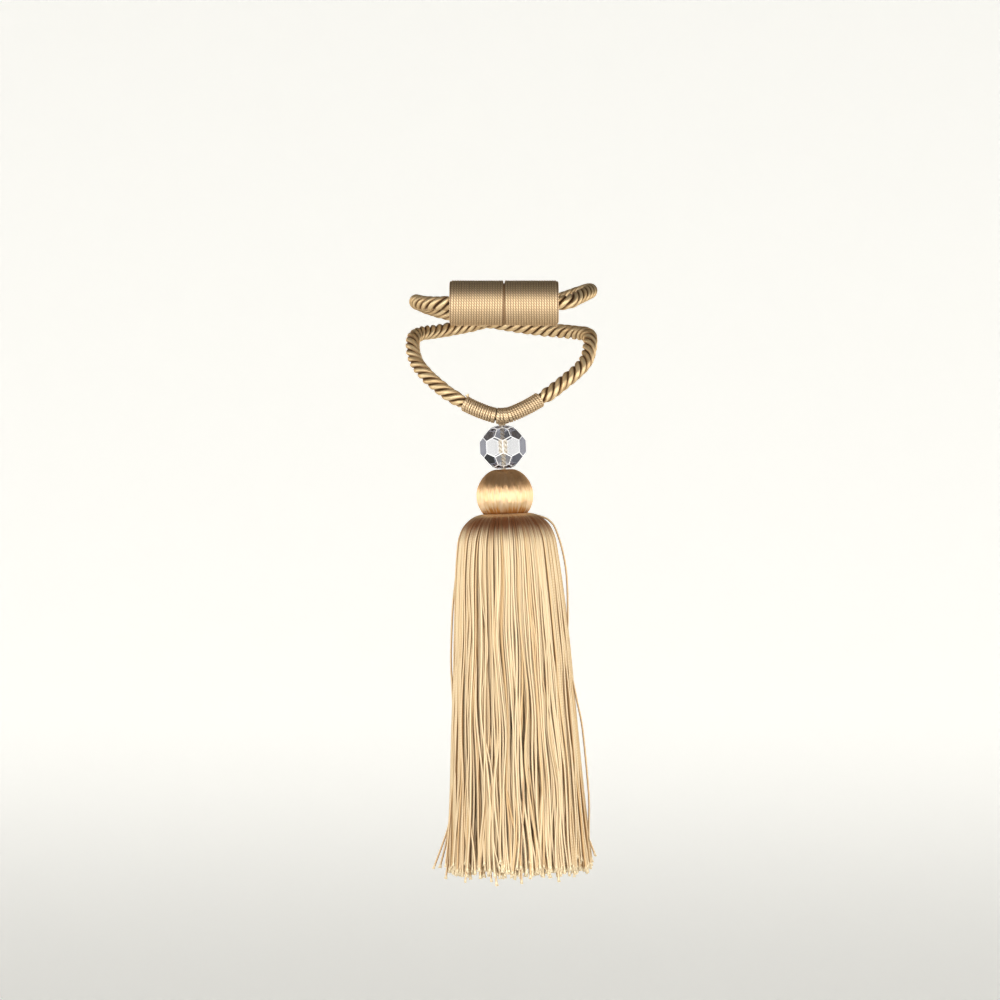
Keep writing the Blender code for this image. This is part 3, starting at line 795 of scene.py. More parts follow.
@dataclass
class MagnetBarrel:
    """One half of the clasp: a moulded core with a socket for the rope, wound all over with thread."""

    side: int  # -1 left, 1 right
    diameter: float = 23.7 * MM
    length: float = 28.2 * MM
    axis_y: float = -38.0 * MM
    edge: float = 1.5 * MM  # radius of the outer end's rounding
    inner_edge: float = 0.9 * MM
    core_edge: float = 0.9 * MM  # of the plastic core's roundings
    thread: float = 1.25 * MM  # the wound thread's thickness
    sunk: Pair = (0.9, 0.8)  # how deep the core lies in it at its side and its outer end, in threads
    socket_depth: float = 3.0 * MM
    socket: float = ROPE_DIAMETER / 2 + 0.5 * MM  # its radius
    steps_a_turn: int = 72

    def build(self) -> None:
        """Makes the core and its winding."""
        name = "left" if self.side < 0 else "right"
        finish_piece(self._core(name), MouldedPlastic().build(), "winding_thread", f"barrel_{name}")
        finish_piece(self._winding(name), WINDING_THREAD.build(), "winding_thread")

    def _core(self, name: str) -> Object:
        """The plastic core: a cylinder with rounded edges, and the recess that the rope is glued into."""
        radius = self.diameter / 2 - self.sunk[0] * self.thread
        length = self.length + CLEARANCE / 2 - self.sunk[1] * self.thread
        deselect_all()
        bpy.ops.mesh.primitive_cylinder_add(
            vertices=64, radius=radius, depth=length, location=(self.side * length / 2, self.axis_y, 0.0),
            rotation=(0.0, self.side * math.radians(90), 0.0),
        )
        core = bpy.context.object
        core.name = core.data.name = f"barrel_core_{name}"
        edit(core, "EDGE")
        bpy.ops.mesh.bevel(offset=self.core_edge, segments=3, affect="EDGES")
        end_edit()
        edit(core, "FACE", [max(core.data.polygons, key=lambda face: (face.center.z, face.area)).index])
        bpy.ops.mesh.inset(thickness=radius - self.core_edge - self.socket)
        inward = (-self.side * self.socket_depth, 0.0, 0.0)
        bpy.ops.mesh.extrude_region_move(TRANSFORM_OT_translate={"value": inward})
        face_outward()
        end_edit()
        bpy.ops.object.transform_apply(location=True, rotation=True, scale=True)
        bpy.ops.object.shade_smooth_by_angle(angle=math.radians(30))
        return core

    def _winding(self, name: str) -> Object:
        """One thread: in a flat coil round the rope, over one edge, along the barrel and over the other."""
        radius, half, thick = self.diameter / 2, self.length / 2, self.thread / 2
        arc = np.radians(np.linspace(90, 0, 9))
        outer, inner = (
            [
                (half - edge + (edge - thick) * math.sin(a), radius - edge + (edge - thick) * math.cos(a))
                for a in arc
            ]
            for edge in (self.edge, self.inner_edge)
        )
        last = (-half + thick, radius - self.inner_edge - 1.2 * THREAD_PITCH)
        profile = np.array(
            [(half - thick, self.socket + thick), *outer, *[(-x, r) for x, r in inner[::-1]], last]
        )
        lengths = distances(profile)
        turns = lengths[-1] / THREAD_PITCH
        angle = np.linspace(0.0, math.tau * turns, round(turns * self.steps_a_turn))
        run = THREAD_PITCH * angle / math.tau
        here, ahead = (
            np.array([np.interp(at, lengths, column) for column in profile.T]) for at in (run, run + 0.2 * MM)
        )
        slope_x, slope_reach = (ahead - here) / np.maximum(np.hypot(*(ahead - here)), 1e-9)
        facing = np.where(slope_x < 0, -1.0, 1.0)
        facing = np.where(np.abs(slope_x) < 0.5, -np.sign(here[0]) * np.sign(slope_reach), facing)
        ways = np.stack([np.full_like(angle, self.side), -np.cos(angle), np.sin(angle)], axis=1)
        middle = np.array([self.side * (self.length + CLEARANCE) / 2, self.axis_y, 0.0])
        centres = middle + ways * here[[0, 1, 1]].T
        outward = ways * (np.stack([-slope_reach, slope_x, slope_x]) * facing).T
        tubes = TubeMesh(f"barrel_winding_{name}")
        tubes.add(centres, outward, oval(THREAD_WIDTH, self.thread, THREAD_POINTS), tone=0.5)
        return tubes.build()


@dataclass
class RopeBinding:
    """Thread wound closely round the rope on one side of the hang point."""

    side: int  # -1 right of the hang point, where the rope comes from, 1 left of it
    length: float
    diameter: float = 8.3 * MM
    start: float = 3.1 * MM  # from the hang point
    thread: float = 1.39 * MM  # so that the thread's twist falls in step from turn to turn
    steps_a_turn: int = 36
    # The thread's short frayed end, which stands up from the left binding's far edge:
    end_inset: float = 0.7 * MM  # from that edge
    end_foot: float = 0.8 * MM  # how deep it starts in the winding
    end_way: Triple = (0.25, -0.25, 1.0)
    end_length: float = 1.6 * MM
    end_bend: float = 0.9 * MM  # how far it leans along the rope
    end_width: float = 1.4 * MM
    end_spread: float = 0.55  # how much wider its tip is

    @property
    def reach(self) -> float:
        """How far from the hang point it ends."""
        return self.start + self.length

    def build(self, rope: TwistedRope) -> None:
        """Makes the winding.

        Args:
            rope: the rope that it is wound on.
        """
        name = "left" if self.side > 0 else "right"
        tubes = TubeMesh(f"rope_binding_{name}")
        ends = (self.side * (self.start + THREAD_PITCH / 2), self.side * (self.reach - THREAD_PITCH / 2))
        rope.wind(
            tubes, ends, self.length / THREAD_PITCH + 1, self.steps_a_turn,
            (self.diameter - self.thread) / 2, oval(THREAD_WIDTH, self.thread, THREAD_POINTS), tone=0.55,
        )
        if self.side > 0:
            place, _, along = rope.line.at(np.array([rope.middle + self.reach - self.end_inset]))
            up = unit(np.array(self.end_way))
            rise = np.linspace(0.0, 1.0, 6)[:, None]
            foot = place + up * (self.diameter / 2 - self.end_foot)
            centres = foot + up * rise * self.end_length + along * self.end_bend * rise**2
            outline = oval(self.end_width, self.end_width, THREAD_POINTS)
            outline = outline * (1.0 + self.end_spread * rise**3)[..., None]
            tubes.add(centres, np.tile(along, (6, 1)), outline, tone=0.8, fray=rise[:, 0] ** 2)
        finish_piece(tubes.build(), WINDING_THREAD.build(), "winding_thread", f"binding_{name}")


@dataclass
class HangingCord:
    """The thin two-ply cord: its plies wound flat round the rope between the bindings, and a stem."""

    diameter: float = 2.6 * MM
    loop_reach: float = 2.9 * MM  # of the flat turns, to each side
    loop_shift: float = -0.25 * MM  # towards the right, which leaves a slit on the left
    loop_thickness: float = 1.3 * MM
    steps_a_turn: int = 40
    gathered: int = 4  # plies that leave the turns under the rope and run together into the stem
    gathered_ply: float = 1.2 * MM
    # The outermost one's way: across in metres, then to the back and up in the loop's radii,
    gather_path: tuple[Triple, ...] = (
        (2.3 * MM, -0.80, -0.60), (1.9 * MM, -0.42, -0.98), (0.9 * MM, 0.0, -1.0), (0.5 * MM, 0.0, -1.0),
    )
    # and what is added to that, in metres.
    gather_more: tuple[Triple, ...] = (
        (0.0, 0.0, 0.0), (0.0, 0.0, 0.0), (0.0, -0.7 * MM, -1.0 * MM), (0.0, -0.3 * MM, -2.4 * MM),
    )
    end_drop: float = 33.4 * MM  # the glued end in the ball
    ply: float = 1.44 * MM
    lay_length: float = 4.6 * MM
    lay: Lay = Lay.S
    stem_rings: int = 120

    def build(self, rope: TwistedRope) -> None:
        """Makes the stem and the turns.

        Args:
            rope: the rope that it is looped over.
        """
        stem = TubeMesh("hanging_cord_twisted")
        self._add_stem(stem)
        turns = TubeMesh("cord_loop_wound")
        width = 2 * self.loop_reach
        count = round(width / THREAD_PITCH)
        pitch = width / count
        ends = (self.loop_shift - (width - pitch) / 2, self.loop_shift + (width - pitch) / 2)
        loop_radius = BOUND_DIAMETER / 2 + CLEARANCE + self.loop_thickness / 2
        section = oval(pitch * THREAD_WIDTH / THREAD_PITCH, self.loop_thickness, THREAD_POINTS)
        rope.wind(turns, ends, count + 1, self.steps_a_turn, loop_radius, section, tone=0.6)
        section = oval(self.gathered_ply, self.gathered_ply, 8)
        for off in np.linspace(-1.0, 1.0, self.gathered):
            path = np.array(self.gather_path) * (off, loop_radius, loop_radius) + self.gather_more
            line = smooth_line(path, 5)
            outward = np.tile((0.0, -1.0, 0.0), (len(line), 1))
            turns.add(AXIS.to_world(line), outward, section, tone=0.6)
        finish_piece(stem.build(), CORD_YARN.build(), "winding_thread", "hanging_cord")
        finish_piece(turns.build(), WINDING_THREAD.build(), "winding_thread")

    def _add_stem(self, tubes: TubeMesh) -> None:
        """Two plies twisted round each other, straight down the tassel's axis."""
        top = BOUND_DIAMETER / 2 + CLEARANCE + self.loop_thickness * 0.6
        drop = np.linspace(top, self.end_drop, self.stem_rings)
        reach = (self.diameter - self.ply) / 2
        for first in (0.0, math.pi):
            turn = first - self.lay.value * math.tau * drop / self.lay_length
            way = np.stack([np.cos(turn), np.sin(turn), np.zeros_like(turn)], axis=1)
            centres = AXIS.to_world(way * reach - drop[:, None] * (0.0, 0.0, 1.0))
            tubes.add(centres, AXIS.turned(way), oval(self.ply, self.ply, 10, lobes=3, depth=0.12), tone=0.7)


# --- Bead, ball and skirt ---


@dataclass
class CutBead:
    """The clear bead: the CAD bead's facets, with their edges ground off by a hair."""

    centre_drop: float = 16.2 * MM
    bore: float = 1.55 * MM  # its radius
    ground: float = 0.24 * MM  # how far an edge is ground off
    flat_deg: float = 1.0  # triangles that meet at less than this are one facet
    smallest_facet: float = 4.0 * MM * MM  # its area; what is smaller is a ground edge
    seed: int = 2
    varies: float = 0.07  # how much the painted reflection's tone differs from facet to facet
    # Rows of facets from the bottom up: lowest angle above the middle, and how deep a painted reflection its
    # facets show.
    rows: Pairs = ((-90, 0.60), (-55, 0.66), (-20, 0.53), (20, 0.80), (55, 0.80))

    def build(self, cad_bead: Object) -> None:
        """Makes the bead.

        Args:
            cad_bead: the node that it stands for.
        """
        bead = bpy.data.objects.new("cut_bead", cad_bead.data.copy())
        bead.data.name = "cut_bead"
        bpy.context.scene.collection.objects.link(bead)
        edit(bead, "FACE")
        bpy.ops.mesh.remove_doubles(threshold=0.001 * MM)
        end_edit()
        self._fill_bore(bead)
        edit(bead, "EDGE")
        bpy.ops.mesh.bevel(offset=self.ground, segments=1, affect="EDGES", clamp_overlap=True)
        end_edit()
        bead.data.shade_flat()
        self._mark_faces(bead.data)
        finish_piece(bead, CutGlass().build(), "crystal", "bead")
        bead.visible_shadow = False  # clear glass lets the light through to its cord

    def _fill_bore(self, bead: Object) -> None:
        """Takes the bore's wall away and closes both ends, because the cord fills it from wall to wall."""
        to_axis = AXIS.matrix().inverted()
        off_axis = [Vector((to_axis @ face.center).xy).length for face in bead.data.polygons]
        edit(bead, "FACE", [number for number, off in enumerate(off_axis) if off < self.bore * 1.02])
        bpy.ops.mesh.delete(type="FACE")
        bpy.ops.mesh.select_mode(type="EDGE")
        bpy.ops.mesh.select_all(action="DESELECT")
        bpy.ops.mesh.select_non_manifold()
        bpy.ops.mesh.fill_holes(sides=0)
        face_outward()
        bpy.ops.mesh.dissolve_limited(angle_limit=math.radians(self.flat_deg))
        end_edit()

    def _mark_faces(self, mesh: Mesh) -> None:
        """Gives each facet the painted reflection of its row, and marks the ground edges between them."""
        to_bead = AXIS.matrix(self.centre_drop).inverted()
        facet_reflections = []
        chance = random.Random(self.seed)
        for face in mesh.polygons:
            place = to_bead @ face.center
            height = math.degrees(math.atan2(place.z, math.hypot(place.x, place.y)))
            tone = [tone for lowest, tone in self.rows if height > lowest][-1]
            facet_reflections.append(tone + chance.uniform(-self.varies, self.varies))
        edges = [float(face.area < self.smallest_facet) for face in mesh.polygons]
        add_attribute(mesh, "depth", "FACE", facet_reflections)
        add_attribute(mesh, "edge", "FACE", edges)


@dataclass
class FlossBall:
    """The tassel's head: a turned ball under floss that is laid from pole to pole."""

    diameter: float = 29.5 * MM
    centre_drop: float = 41.6 * MM
    top: float = 13.9 * MM  # its flattened top, above its centre
    top_edge: float = 0.45 * MM  # how softly it passes into the ball's side
    neck: float = -8.9 * MM  # where it ends and its neck begins, likewise
    # Steps below the neck: down, and how much narrower.
    neck_steps: Pairs = ((-0.25 * MM, 0.975), (-0.5 * MM, 0.96), (-0.6 * MM, 0.95))
    hole: float = 1.7 * MM  # radius of the cord's hole
    dip: float = 1.2 * MM  # how far the top falls in at the hole
    bundles: int = 150  # of floss, as ridges
    bundle_depth: float = 0.012
    wave: float = 0.13 * MM  # how far a bundle stands out and in along its run
    wave_run: float = 7.0 * MM
    calm: float = 0.2  # of the diameter: nearer to the axis than this, the waves die out
    valley_from: float = 0.25  # of a bundle's width: farther than this from its crest is valley
    rings: int = 64
    seed: int = 5

    def build(self) -> None:
        """Makes the ball."""
        deselect_all()
        bpy.ops.mesh.primitive_uv_sphere_add(
            segments=2 * self.bundles, ring_count=self.rings, radius=self.diameter / 2, calc_uvs=True
        )
        ball = bpy.context.object
        ball.name = ball.data.name = "floss_ball"
        edit(ball, "EDGE")
        bpy.ops.mesh.bisect(plane_co=(0.0, 0.0, self.neck), plane_no=(0.0, 0.0, -1.0), clear_outer=True)
        for fall, narrow in self.neck_steps:
            draw_rim(fall, narrow)
        bpy.ops.mesh.edge_face_add()
        end_edit()
        edit(ball, "VERT", [vert.index for vert in ball.data.vertices if self._in_valley(vert.co)])
        valley = 1 - self.bundle_depth
        bpy.ops.transform.resize(value=(valley, valley, valley), center_override=(0.0, 0.0, 0.0))
        end_edit()
        chance = random.Random(self.seed)
        waves = [(chance.uniform(0.4, 1.0), chance.uniform(0, math.tau)) for _ in range(2 * self.bundles)]
        for vert in ball.data.vertices:
            self._shape(vert, waves)
        ball.data.shade_smooth()
        ball.data.uv_layers[0].name = UV_NAME
        place = AXIS.matrix(self.centre_drop)
        ball.data.transform(place)
        floss = BALL_FLOSS.build(place.inverted(), self.neck, self.top)
        finish_piece(ball, floss, "ball_floss", "head_ball")

    def _in_valley(self, place: Vector) -> bool:
        """Whether a point lies between two bundles of floss."""
        turn = math.atan2(place.y, place.x) * self.bundles / math.tau
        return math.hypot(place.x, place.y) > self.hole and abs(turn - round(turn)) > self.valley_from

    def _shape(self, vert: MeshVertex, waves: list[Pair]) -> None:
        """Moves a point out or in, as its bundle of floss runs, and presses the top flat under the bead.

        Args:
            vert: the point.
            waves: each bundle's share of the full wave, and its phase.
        """
        turn = math.atan2(vert.co.y, vert.co.x) / math.tau * len(waves)
        share, phase = waves[round(turn) % len(waves)]
        off_pole = min(1.0, math.hypot(vert.co.x, vert.co.y) / (self.diameter * self.calm))
        height = share * self.wave * off_pole * math.sin(math.tau * vert.co.z / self.wave_run + phase)
        if vert.co.z > self.neck:
            vert.co += vert.co.normalized() * height
        if vert.co.z > 0:
            off_axis = math.hypot(vert.co.x, vert.co.y)
            over = (vert.co.z - self.top) / self.top_edge
            vert.co.z = self.top - self.top_edge * math.log1p(math.exp(-over)) if over < 30 else self.top
            vert.co.z -= self.dip * math.exp(-((off_axis / self.hole) ** 2))


@dataclass
class TasselSkirt:
    """The skirt: layers of cut yarns that come out under the ball, bend over the shoulder and hang."""

    top_drop: float = 50.8 * MM
    length: float = 186.0 * MM
    yarn: float = 1.16 * MM
    yarn_points: int = 6
    flare: float = 1.85  # how much a cut end opens at most
    dish: float = 4.0 * MM  # how much higher the cut ends are in the middle
    seed: int = 11
    end_plies: int = 4  # that a cut end opens into
    neck_share: float = 0.13  # of a yarn's length, with rings as close as its bend needs
    held: float = 6.0 * MM  # how far below the neck the yarns lie in order
    inner_start: float = 11.0 * MM  # how much lower than the outside a yarn on the axis would start
    inner_fade: float = 14.0 * MM  # and the drop in which that fades
    uneven_mm: Pair = (3.2, 3.6)  # how much higher yarns are cut: a bell curve's width, and an even draw
    shortest: float = 13.0 * MM  # how much higher than the rest a yarn is cut at most
    long_share: float = 0.07  # yarns that the shears missed
    long_mm: Pair = (1.0, 4.0)  # how much longer those are
    layer_phase: float = 12.0  # radians that the locks turn from the outermost layer to the axis
    lock_wander: float = 0.7  # radians that they sway on the way down
    bold_share: float = 0.16  # yarns that cross their neighbours
    cross_mm: Pair = (1.6, 6.5)  # how far most yarns stray round the skirt by their ends, and bold ones
    splay_mm: float = 2.6  # what their last part adds to that
    sway_mm: float = 0.55  # a yarn's own waves round the skirt
    lift_mm: float = 0.9  # how far a bold yarn stands out of the outermost layers
    proud_mm: Pair = (0.30, 0.45)  # how far any yarn stands out or in, near the neck and by its end
    flick_mm: float = 0.9  # how far its last part turns out
    full_radius: float = 24.0 * MM  # where the outside is as wide as this, yarns have their full thickness
    thinnest: float = 0.40  # and nowhere less than this share of it
    shade_drop: float = 4.9 * MM  # middle of the band of shade under the ball
    shade_reach_mm: Pair = (3.8, 8.0)  # how far it spreads up and down
    shade_depth: Pair = (0.85, 1.08)  # how deep it is in the middle
    shade_sides: float = 0.74  # its share at the left and right, against the front and back
    tones: Pair = (0.55, 0.25)  # the yarns' mean tone, and how much it varies
    stray_proud: float = 0.8 * MM  # how far a loose yarn lies outside the others
    stray_side: Pair = (0.8, 2.5 * MM)  # past this share of the way across, it is at most so far ahead
    # One that starts below this drop comes out from between the others: how deep, as a share, and how fast.
    stray_tuck: Triple = (20.0 * MM, 0.1, 5.0 * MM)
    # The outside, from the neck to the cut ends: drop below the skirt's top and radius, in millimetres.
    profile_mm: Pairs = (
        (0.3, 10.9), (0.4, 12.2), (0.8, 14.0), (1.6, 16.2), (3.4, 18.9), (6.8, 21.9), (10.8, 23.8),
        (17.0, 25.3), (38.0, 27.3), (82.0, 29.8), (130.0, 32.4), (187.0, 34.6),
    )
    # Pieces and their layers from the outside in: share of the outer radius, and yarns.
    layers: tuple[tuple[str, tuple[tuple[float, int], ...]], ...] = (
        ("skirt_outer", ((1.000, 142), (0.968, 134))),
        ("skirt_middle", ((0.930, 124), (0.870, 100))),
        ("skirt_inner", ((0.740, 74), (0.560, 52), (0.360, 30), (0.150, 12))),
    )
    # Locks: waves round the skirt that draw yarns together, as how many there are and how strongly.
    locks: tuple[tuple[int, float], ...] = (
        (4, 0.20), (7, 0.22), (11, 0.25), (17, 0.30), (26, 0.38), (38, 0.42), (59, 0.40), (67, 0.40),
    )
    # Loose yarns: across and drop below the skirt's top in millimetres, down to the cut end.
    strays_mm: tuple[Pairs, ...] = (
        (
            (11.0, 0.4), (19.4, 2.7), (23.4, 5.4), (25.9, 9.7), (28.9, 20.8), (30.5, 34.4), (30.3, 54.2),
            (29.6, 67.2), (30.2, 90.0), (31.6, 120.0), (33.0, 150.0), (33.6, 182.0),
        ),
        (
            (27.6, 60.0), (30.2, 80.0), (33.2, 98.6), (35.5, 113.3), (37.1, 139.9), (37.4, 153.5),
            (36.7, 166.5), (36.4, 181.0),
        ),
        (
            (-24.0, 14.0), (-29.0, 44.0), (-30.9, 64.8), (-31.6, 78.3), (-31.4, 90.8), (-31.6, 120.0),
            (-33.8, 150.0), (-34.6, 183.0),
        ),
        ((-30.4, 120.0), (-33.4, 142.0), (-35.9, 159.9), (-39.5, 170.2), (-44.1, 181.3)),
        ((-30.8, 124.0), (-33.8, 146.0), (-35.9, 160.5), (-37.9, 170.3), (-41.0, 180.8)),
        ((-31.0, 130.0), (-34.0, 152.0), (-36.0, 168.0), (-37.2, 179.2), (-38.4, 186.6)),
        ((31.0, 120.0), (34.0, 150.0), (36.1, 168.7), (37.3, 173.3), (38.9, 178.0)),
        ((-12.0, 130.0), (-14.5, 150.0), (-15.5, 170.0), (-15.0, 186.0)),
        ((4.0, 126.0), (3.0, 150.0), (1.0, 172.0), (0.6, 187.2)),
    )

    def __post_init__(self) -> None:
        """Draws the locks and lays the outside's line."""
        self.chance = random.Random(self.seed)
        draw = self.chance.uniform
        self.waves = [(*lock, draw(0, math.tau), draw(-2.6, 2.6), draw(1, 2.5)) for lock in self.locks]
        self.outside = smooth_line(np.array(self.profile_mm) * MM, 8)

    def build(self) -> None:
        """Makes the skirt's pieces."""
        meshes = [TubeMesh(name) for name, _ in self.layers]
        for tubes, (_, layers) in zip(meshes, self.layers):
            for share, yarns in layers:
                for yarn in range(yarns):
                    self._add_yarn(tubes, share, math.tau * (yarn + 0.4 * share) / yarns)
        for stray in self.strays_mm:
            self._add_stray(meshes[0], np.array(stray) * MM)
        finish = SKIRT_YARN.build()
        for tubes in meshes:
            finish_piece(tubes.build(), finish, "skirt_yarn", *(["skirt"] if tubes is meshes[0] else []))

    def _add_yarn(self, tubes: TubeMesh, share: float, angle: float) -> None:
        """Adds one yarn.

        Args:
            tubes: the piece that it belongs to.
            share: its layer's share of the outer radius.
            angle: where round the skirt it starts.
        """
        draw, gauss = self.chance.uniform, self.chance.gauss
        along = distances(self.outside)
        neck = self.neck_share
        run = along[-1] * np.concatenate([np.linspace(0.0, neck, 15)[:-1], np.linspace(neck, 1.0, 27)])
        drop, radius = (np.interp(run, along, column) for column in self.outside.T)
        down = np.clip(drop / self.length, 0.0, 1.0)
        loose = 1.0 - np.exp(-drop / self.held)
        drop = drop + (1.0 - share) * self.inner_start * np.exp(-drop / self.inner_fade)
        short = (abs(gauss(0.0, self.uneven_mm[0])) + draw(0.0, self.uneven_mm[1])) * MM
        cut = self.length - self.dish * (1.0 - share) - min(short, self.shortest)
        if self.chance.random() < self.long_share:
            cut += draw(*self.long_mm) * MM
        drop = drop * cut / drop[-1]

        # It follows the locks round the skirt, and a bold one crosses its neighbours and stands out.
        shift = sum(
            strength / order * np.sin(
                order * angle + phase + self.layer_phase * (1.0 - share) + turn * down
                + self.lock_wander * np.sin(math.tau * wander * down + phase)
            )
            for order, strength, phase, turn, wander in self.waves
        ) * radius * loose * (0.35 + 0.65 * down)
        bold = self.chance.random() < self.bold_share
        shift = shift + gauss(0.0, self.cross_mm[bold]) * MM * down**1.7
        shift = shift + gauss(0.0, self.splay_mm) * MM * down**6
        shift = shift + gauss(0.0, self.sway_mm) * MM * np.minimum(1.0, 3 * down) * np.sin(
            math.tau * (draw(0.7, 3.2) * down + self.chance.random())
        )
        lift = self.lift_mm * np.sin(math.pi * down) if bold and share > 0.95 else 0.0
        near, far = self.proud_mm
        radius = radius * share + MM * loose * (
            gauss(0.0, near) + lift + gauss(0.0, far) * down
            + far * down * np.sin(math.tau * (draw(0.8, 2.4) * down + self.chance.random()))
        )
        radius = radius + abs(gauss(0.0, self.flick_mm)) * MM * down**7 * 1.5
        turn = angle + shift / np.maximum(radius, 3 * MM)
        local = np.stack([radius * np.cos(turn), radius * np.sin(turn), -(self.top_drop + drop)], axis=1)
        around = np.stack([-np.sin(turn), np.cos(turn), np.zeros_like(turn)], axis=1)

        # Inner yarns are fewer and thicker. Under the ball all are thin and lie in a band of shade.
        full = self.yarn * draw(0.88, 1.10) * min(1.0 + 2.0 * (1.0 - share), 1.25)
        size = full * np.clip(radius / share / self.full_radius, self.thinnest, 1.0)
        reach = draw(*self.shade_reach_mm) * MM
        band = draw(*self.shade_depth) * np.exp(-(((drop - self.shade_drop) / reach) ** 2))
        band = band * (self.shade_sides + (1 - self.shade_sides) * abs(math.sin(angle)))
        band = band * np.clip((drop - 0.7 * MM) / (1.5 * MM), 0.15, 1.0)
        shade = np.clip(band + (1 - share) * 0.15, 0.0, 0.95)
        tone = min(1.0, max(0.0, gauss(*self.tones)))
        self._add_tube(tubes, local, around, size, tone, shade)

    def _add_stray(self, tubes: TubeMesh, path: ndarray) -> None:
        """Adds one loose yarn.

        Args:
            tubes: the piece that it belongs to.
            path: across and drop, a row for each point.
        """
        line = smooth_line(path, 5)
        across, drop = line.T
        reach = np.interp(drop, *(np.array(self.profile_mm) * MM).T) + self.stray_proud
        ahead = np.sqrt(np.maximum(reach**2 - across**2, 0.0))
        side, most = self.stray_side
        ahead = np.where(np.abs(across) > side * reach, np.minimum(ahead, most), ahead)
        lowest, depth, fade = self.stray_tuck
        inside = 1.0 - (depth if drop[0] > lowest else 0.0) * np.exp((drop[0] - drop) / fade)
        local = np.stack([across * inside, -ahead * inside, -(self.top_drop + drop)], axis=1)
        around = np.tile((0.0, 1.0 if path[0, 0] > 0 else -1.0, 0.0), (len(line), 1))
        size = np.full(len(line), self.yarn * 0.92)
        self._add_tube(tubes, local, around, size, self.chance.uniform(0.6, 0.9), np.zeros(len(line)))

    def _add_tube(
        self, tubes: TubeMesh, local: ndarray, around: ndarray, size: ndarray, tone: float, shade: ndarray
    ) -> None:
        """Adds a yarn's tube and its cut end.

        Args:
            tubes: the piece that it belongs to.
            local: its middle line on the axis's frame, from the top down.
            around: which way is round the skirt, a row for each ring.
            size: its thickness at each ring.
            tone: its tone.
            shade: how deep each ring lies in the shade.
        """
        centres = AXIS.to_world(local)
        section = oval(1.0, 1.0, self.yarn_points)
        crest_out = np.stack([-section[:, 1], section[:, 0]], axis=1)
        open_end = centres[-1] + unit(centres[-1] - centres[-2]) * np.array([[0.9], [1.9]]) * MM
        centres = np.vstack([centres, open_end])
        size, around, shade = (
            np.pad(rows, ((0, 2), (0, 0))[: rows.ndim], mode="edge") for rows in (size, around, shade)
        )
        size[-2:] *= (1.12, self.chance.uniform(1.2, self.flare))
        fray = np.append(np.zeros(len(size) - 2), [0.6, 1.0])
        tubes.add(centres, AXIS.turned(around), crest_out * size[:, None, None], tone, fray, root=shade)

        # The cut end opens into its plies.
        draw, radius = self.chance.uniform, size[-1] / 2
        way = unit(centres[-1] - centres[-3])
        first = unit(np.cross(way, (0.0, 1.0, 0.0)))
        second = np.cross(way, first)
        for ply in range(self.end_plies):
            turn = math.tau * (ply / self.end_plies + draw(-0.1, 0.1))
            out = first * math.cos(turn) + second * math.sin(turn)
            grow = np.array([-0.5, 0.5, 1.0])[:, None] * draw(0.3, 0.9) * MM
            spread = np.array([0.50, 0.66, draw(0.7, 1.2)])[:, None] * radius
            line = centres[-1] + way * grow + out * spread
            outline = oval(radius, radius, 4)[None] * np.array([0.9, 0.8, 0.5])[:, None, None]
            tubes.add(line, np.tile(out, (3, 1)), outline, tone, fray=np.array([0.2, 0.7, 1.0]))


# --- Studio ---


@dataclass(frozen=True)
class Softbox:
    """A big soft light that the camera doesn't see."""

    name: str
    place: Triple
    turn_deg: float  # about Z; at 0 it shines to the back
    size: Pair
    radiance: float

    def build(self) -> None:
        """Adds the light."""
        deselect_all()
        turn = (math.radians(90), 0.0, math.radians(self.turn_deg))
        bpy.ops.object.light_add(type="AREA", location=self.place, rotation=turn)
        light = bpy.context.object
        light.name = self.name
        light.data.shape = "RECTANGLE"
        light.data.size, light.data.size_y = self.size
        light.data.energy = self.radiance * math.pi * self.size[0] * self.size[1]
        light.visible_camera = False


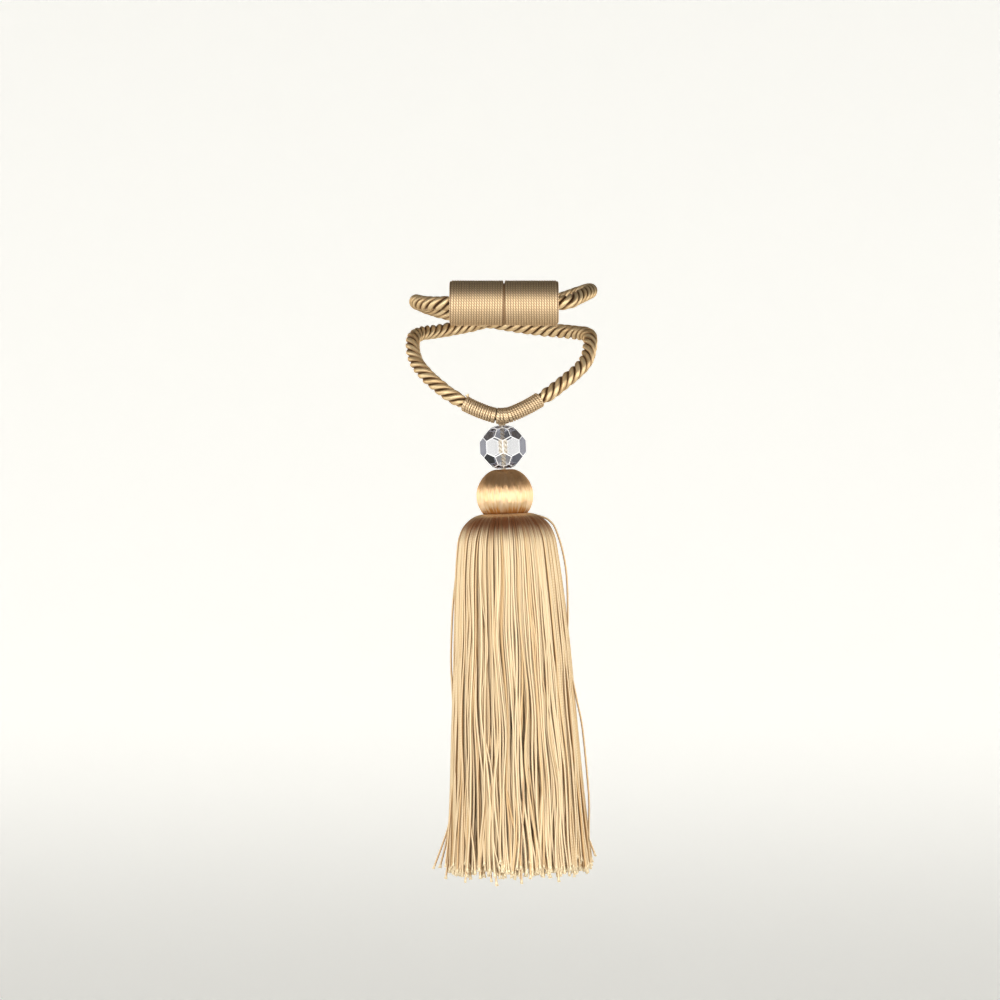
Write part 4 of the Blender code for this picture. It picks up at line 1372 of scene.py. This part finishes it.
@dataclass
class Studio:
    """A pale floor that curves up into a low wall all round, and soft lights under a dim ceiling."""

    floor_z: float = -0.80
    floor_radius: float = 3.0
    cove: float = 0.4
    cove_steps: int = 8
    wall: float = 1.15
    lights: tuple[Softbox, ...] = (
        Softbox("softbox_front", (0.0, -0.9, -0.03), 0.0, (2.4, 1.06), 2.1),
        Softbox("softbox_right", (1.2, -0.1, 0.03), 90.0, (1.5, 0.94), 1.1),
        Softbox("softbox_left", (-1.2, -0.1, 0.03), -90.0, (1.5, 0.94), 1.1),
        Softbox("softbox_back", (0.0, 1.3, 0.03), 180.0, (2.0, 0.94), 0.8),
    )
    sky: str = "#E9EDF2"
    sky_strength: float = 0.06

    def build(self) -> None:
        """Adds the floor, the lights and the world, whose sky is the dim ceiling above the wall."""
        self._floor()
        for light in self.lights:
            light.build()
        world = bpy.data.worlds.new("studio_room")
        world.use_nodes = True
        sky = {"Color": linear(self.sky), "Strength": self.sky_strength}
        set_node(world.node_tree.nodes["Background"], sky)
        scene = bpy.context.scene
        scene.world = world
        scene.view_settings.view_transform = "Standard"
        scene.view_settings.look = "None"

    def _floor(self) -> None:
        """A disc whose rim is drawn out and up in steps."""
        deselect_all()
        bpy.ops.mesh.primitive_circle_add(
            vertices=128, radius=self.floor_radius, fill_type="NGON", location=(0.0, 0.0, self.floor_z)
        )
        floor = bpy.context.object
        floor.name = floor.data.name = "studio_floor"
        edit(floor, "EDGE")
        bpy.ops.mesh.region_to_loop()
        reach = self.floor_radius
        for step in range(1, self.cove_steps + 1):
            turn, before = (math.radians(90) * s / self.cove_steps for s in (step, step - 1))
            wider = self.floor_radius + self.cove * math.sin(turn)
            draw_rim(self.cove * (math.cos(before) - math.cos(turn)), wider / reach)
            reach = wider
        draw_rim(self.wall, 1.0)
        end_edit()
        bpy.ops.object.transform_apply(location=True, rotation=True, scale=True)
        floor.data.shade_smooth()
        floor.data.materials.append(BackdropPaper().build(self.floor_z, self.floor_z + self.cove))


def main() -> None:
    """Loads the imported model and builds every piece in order."""
    logging.basicConfig(level=logging.INFO, format="%(name)s: %(message)s")
    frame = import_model()
    ViewCamera().build()
    bindings = [RopeBinding(side=-1, length=19.2 * MM), RopeBinding(side=1, length=17.6 * MM)]
    rope = TwistedRope(bound=(bindings[0].reach, bindings[1].reach))
    rope.build()
    for side in (-1, 1):
        MagnetBarrel(side=side).build()
    for binding in bindings:
        binding.build(rope)
    HangingCord().build(rope)
    CutBead().build(frame["nodes"]["bead"])
    FlossBall().build()
    TasselSkirt().build()
    Studio().build()


if __name__ == "__main__":
    main()
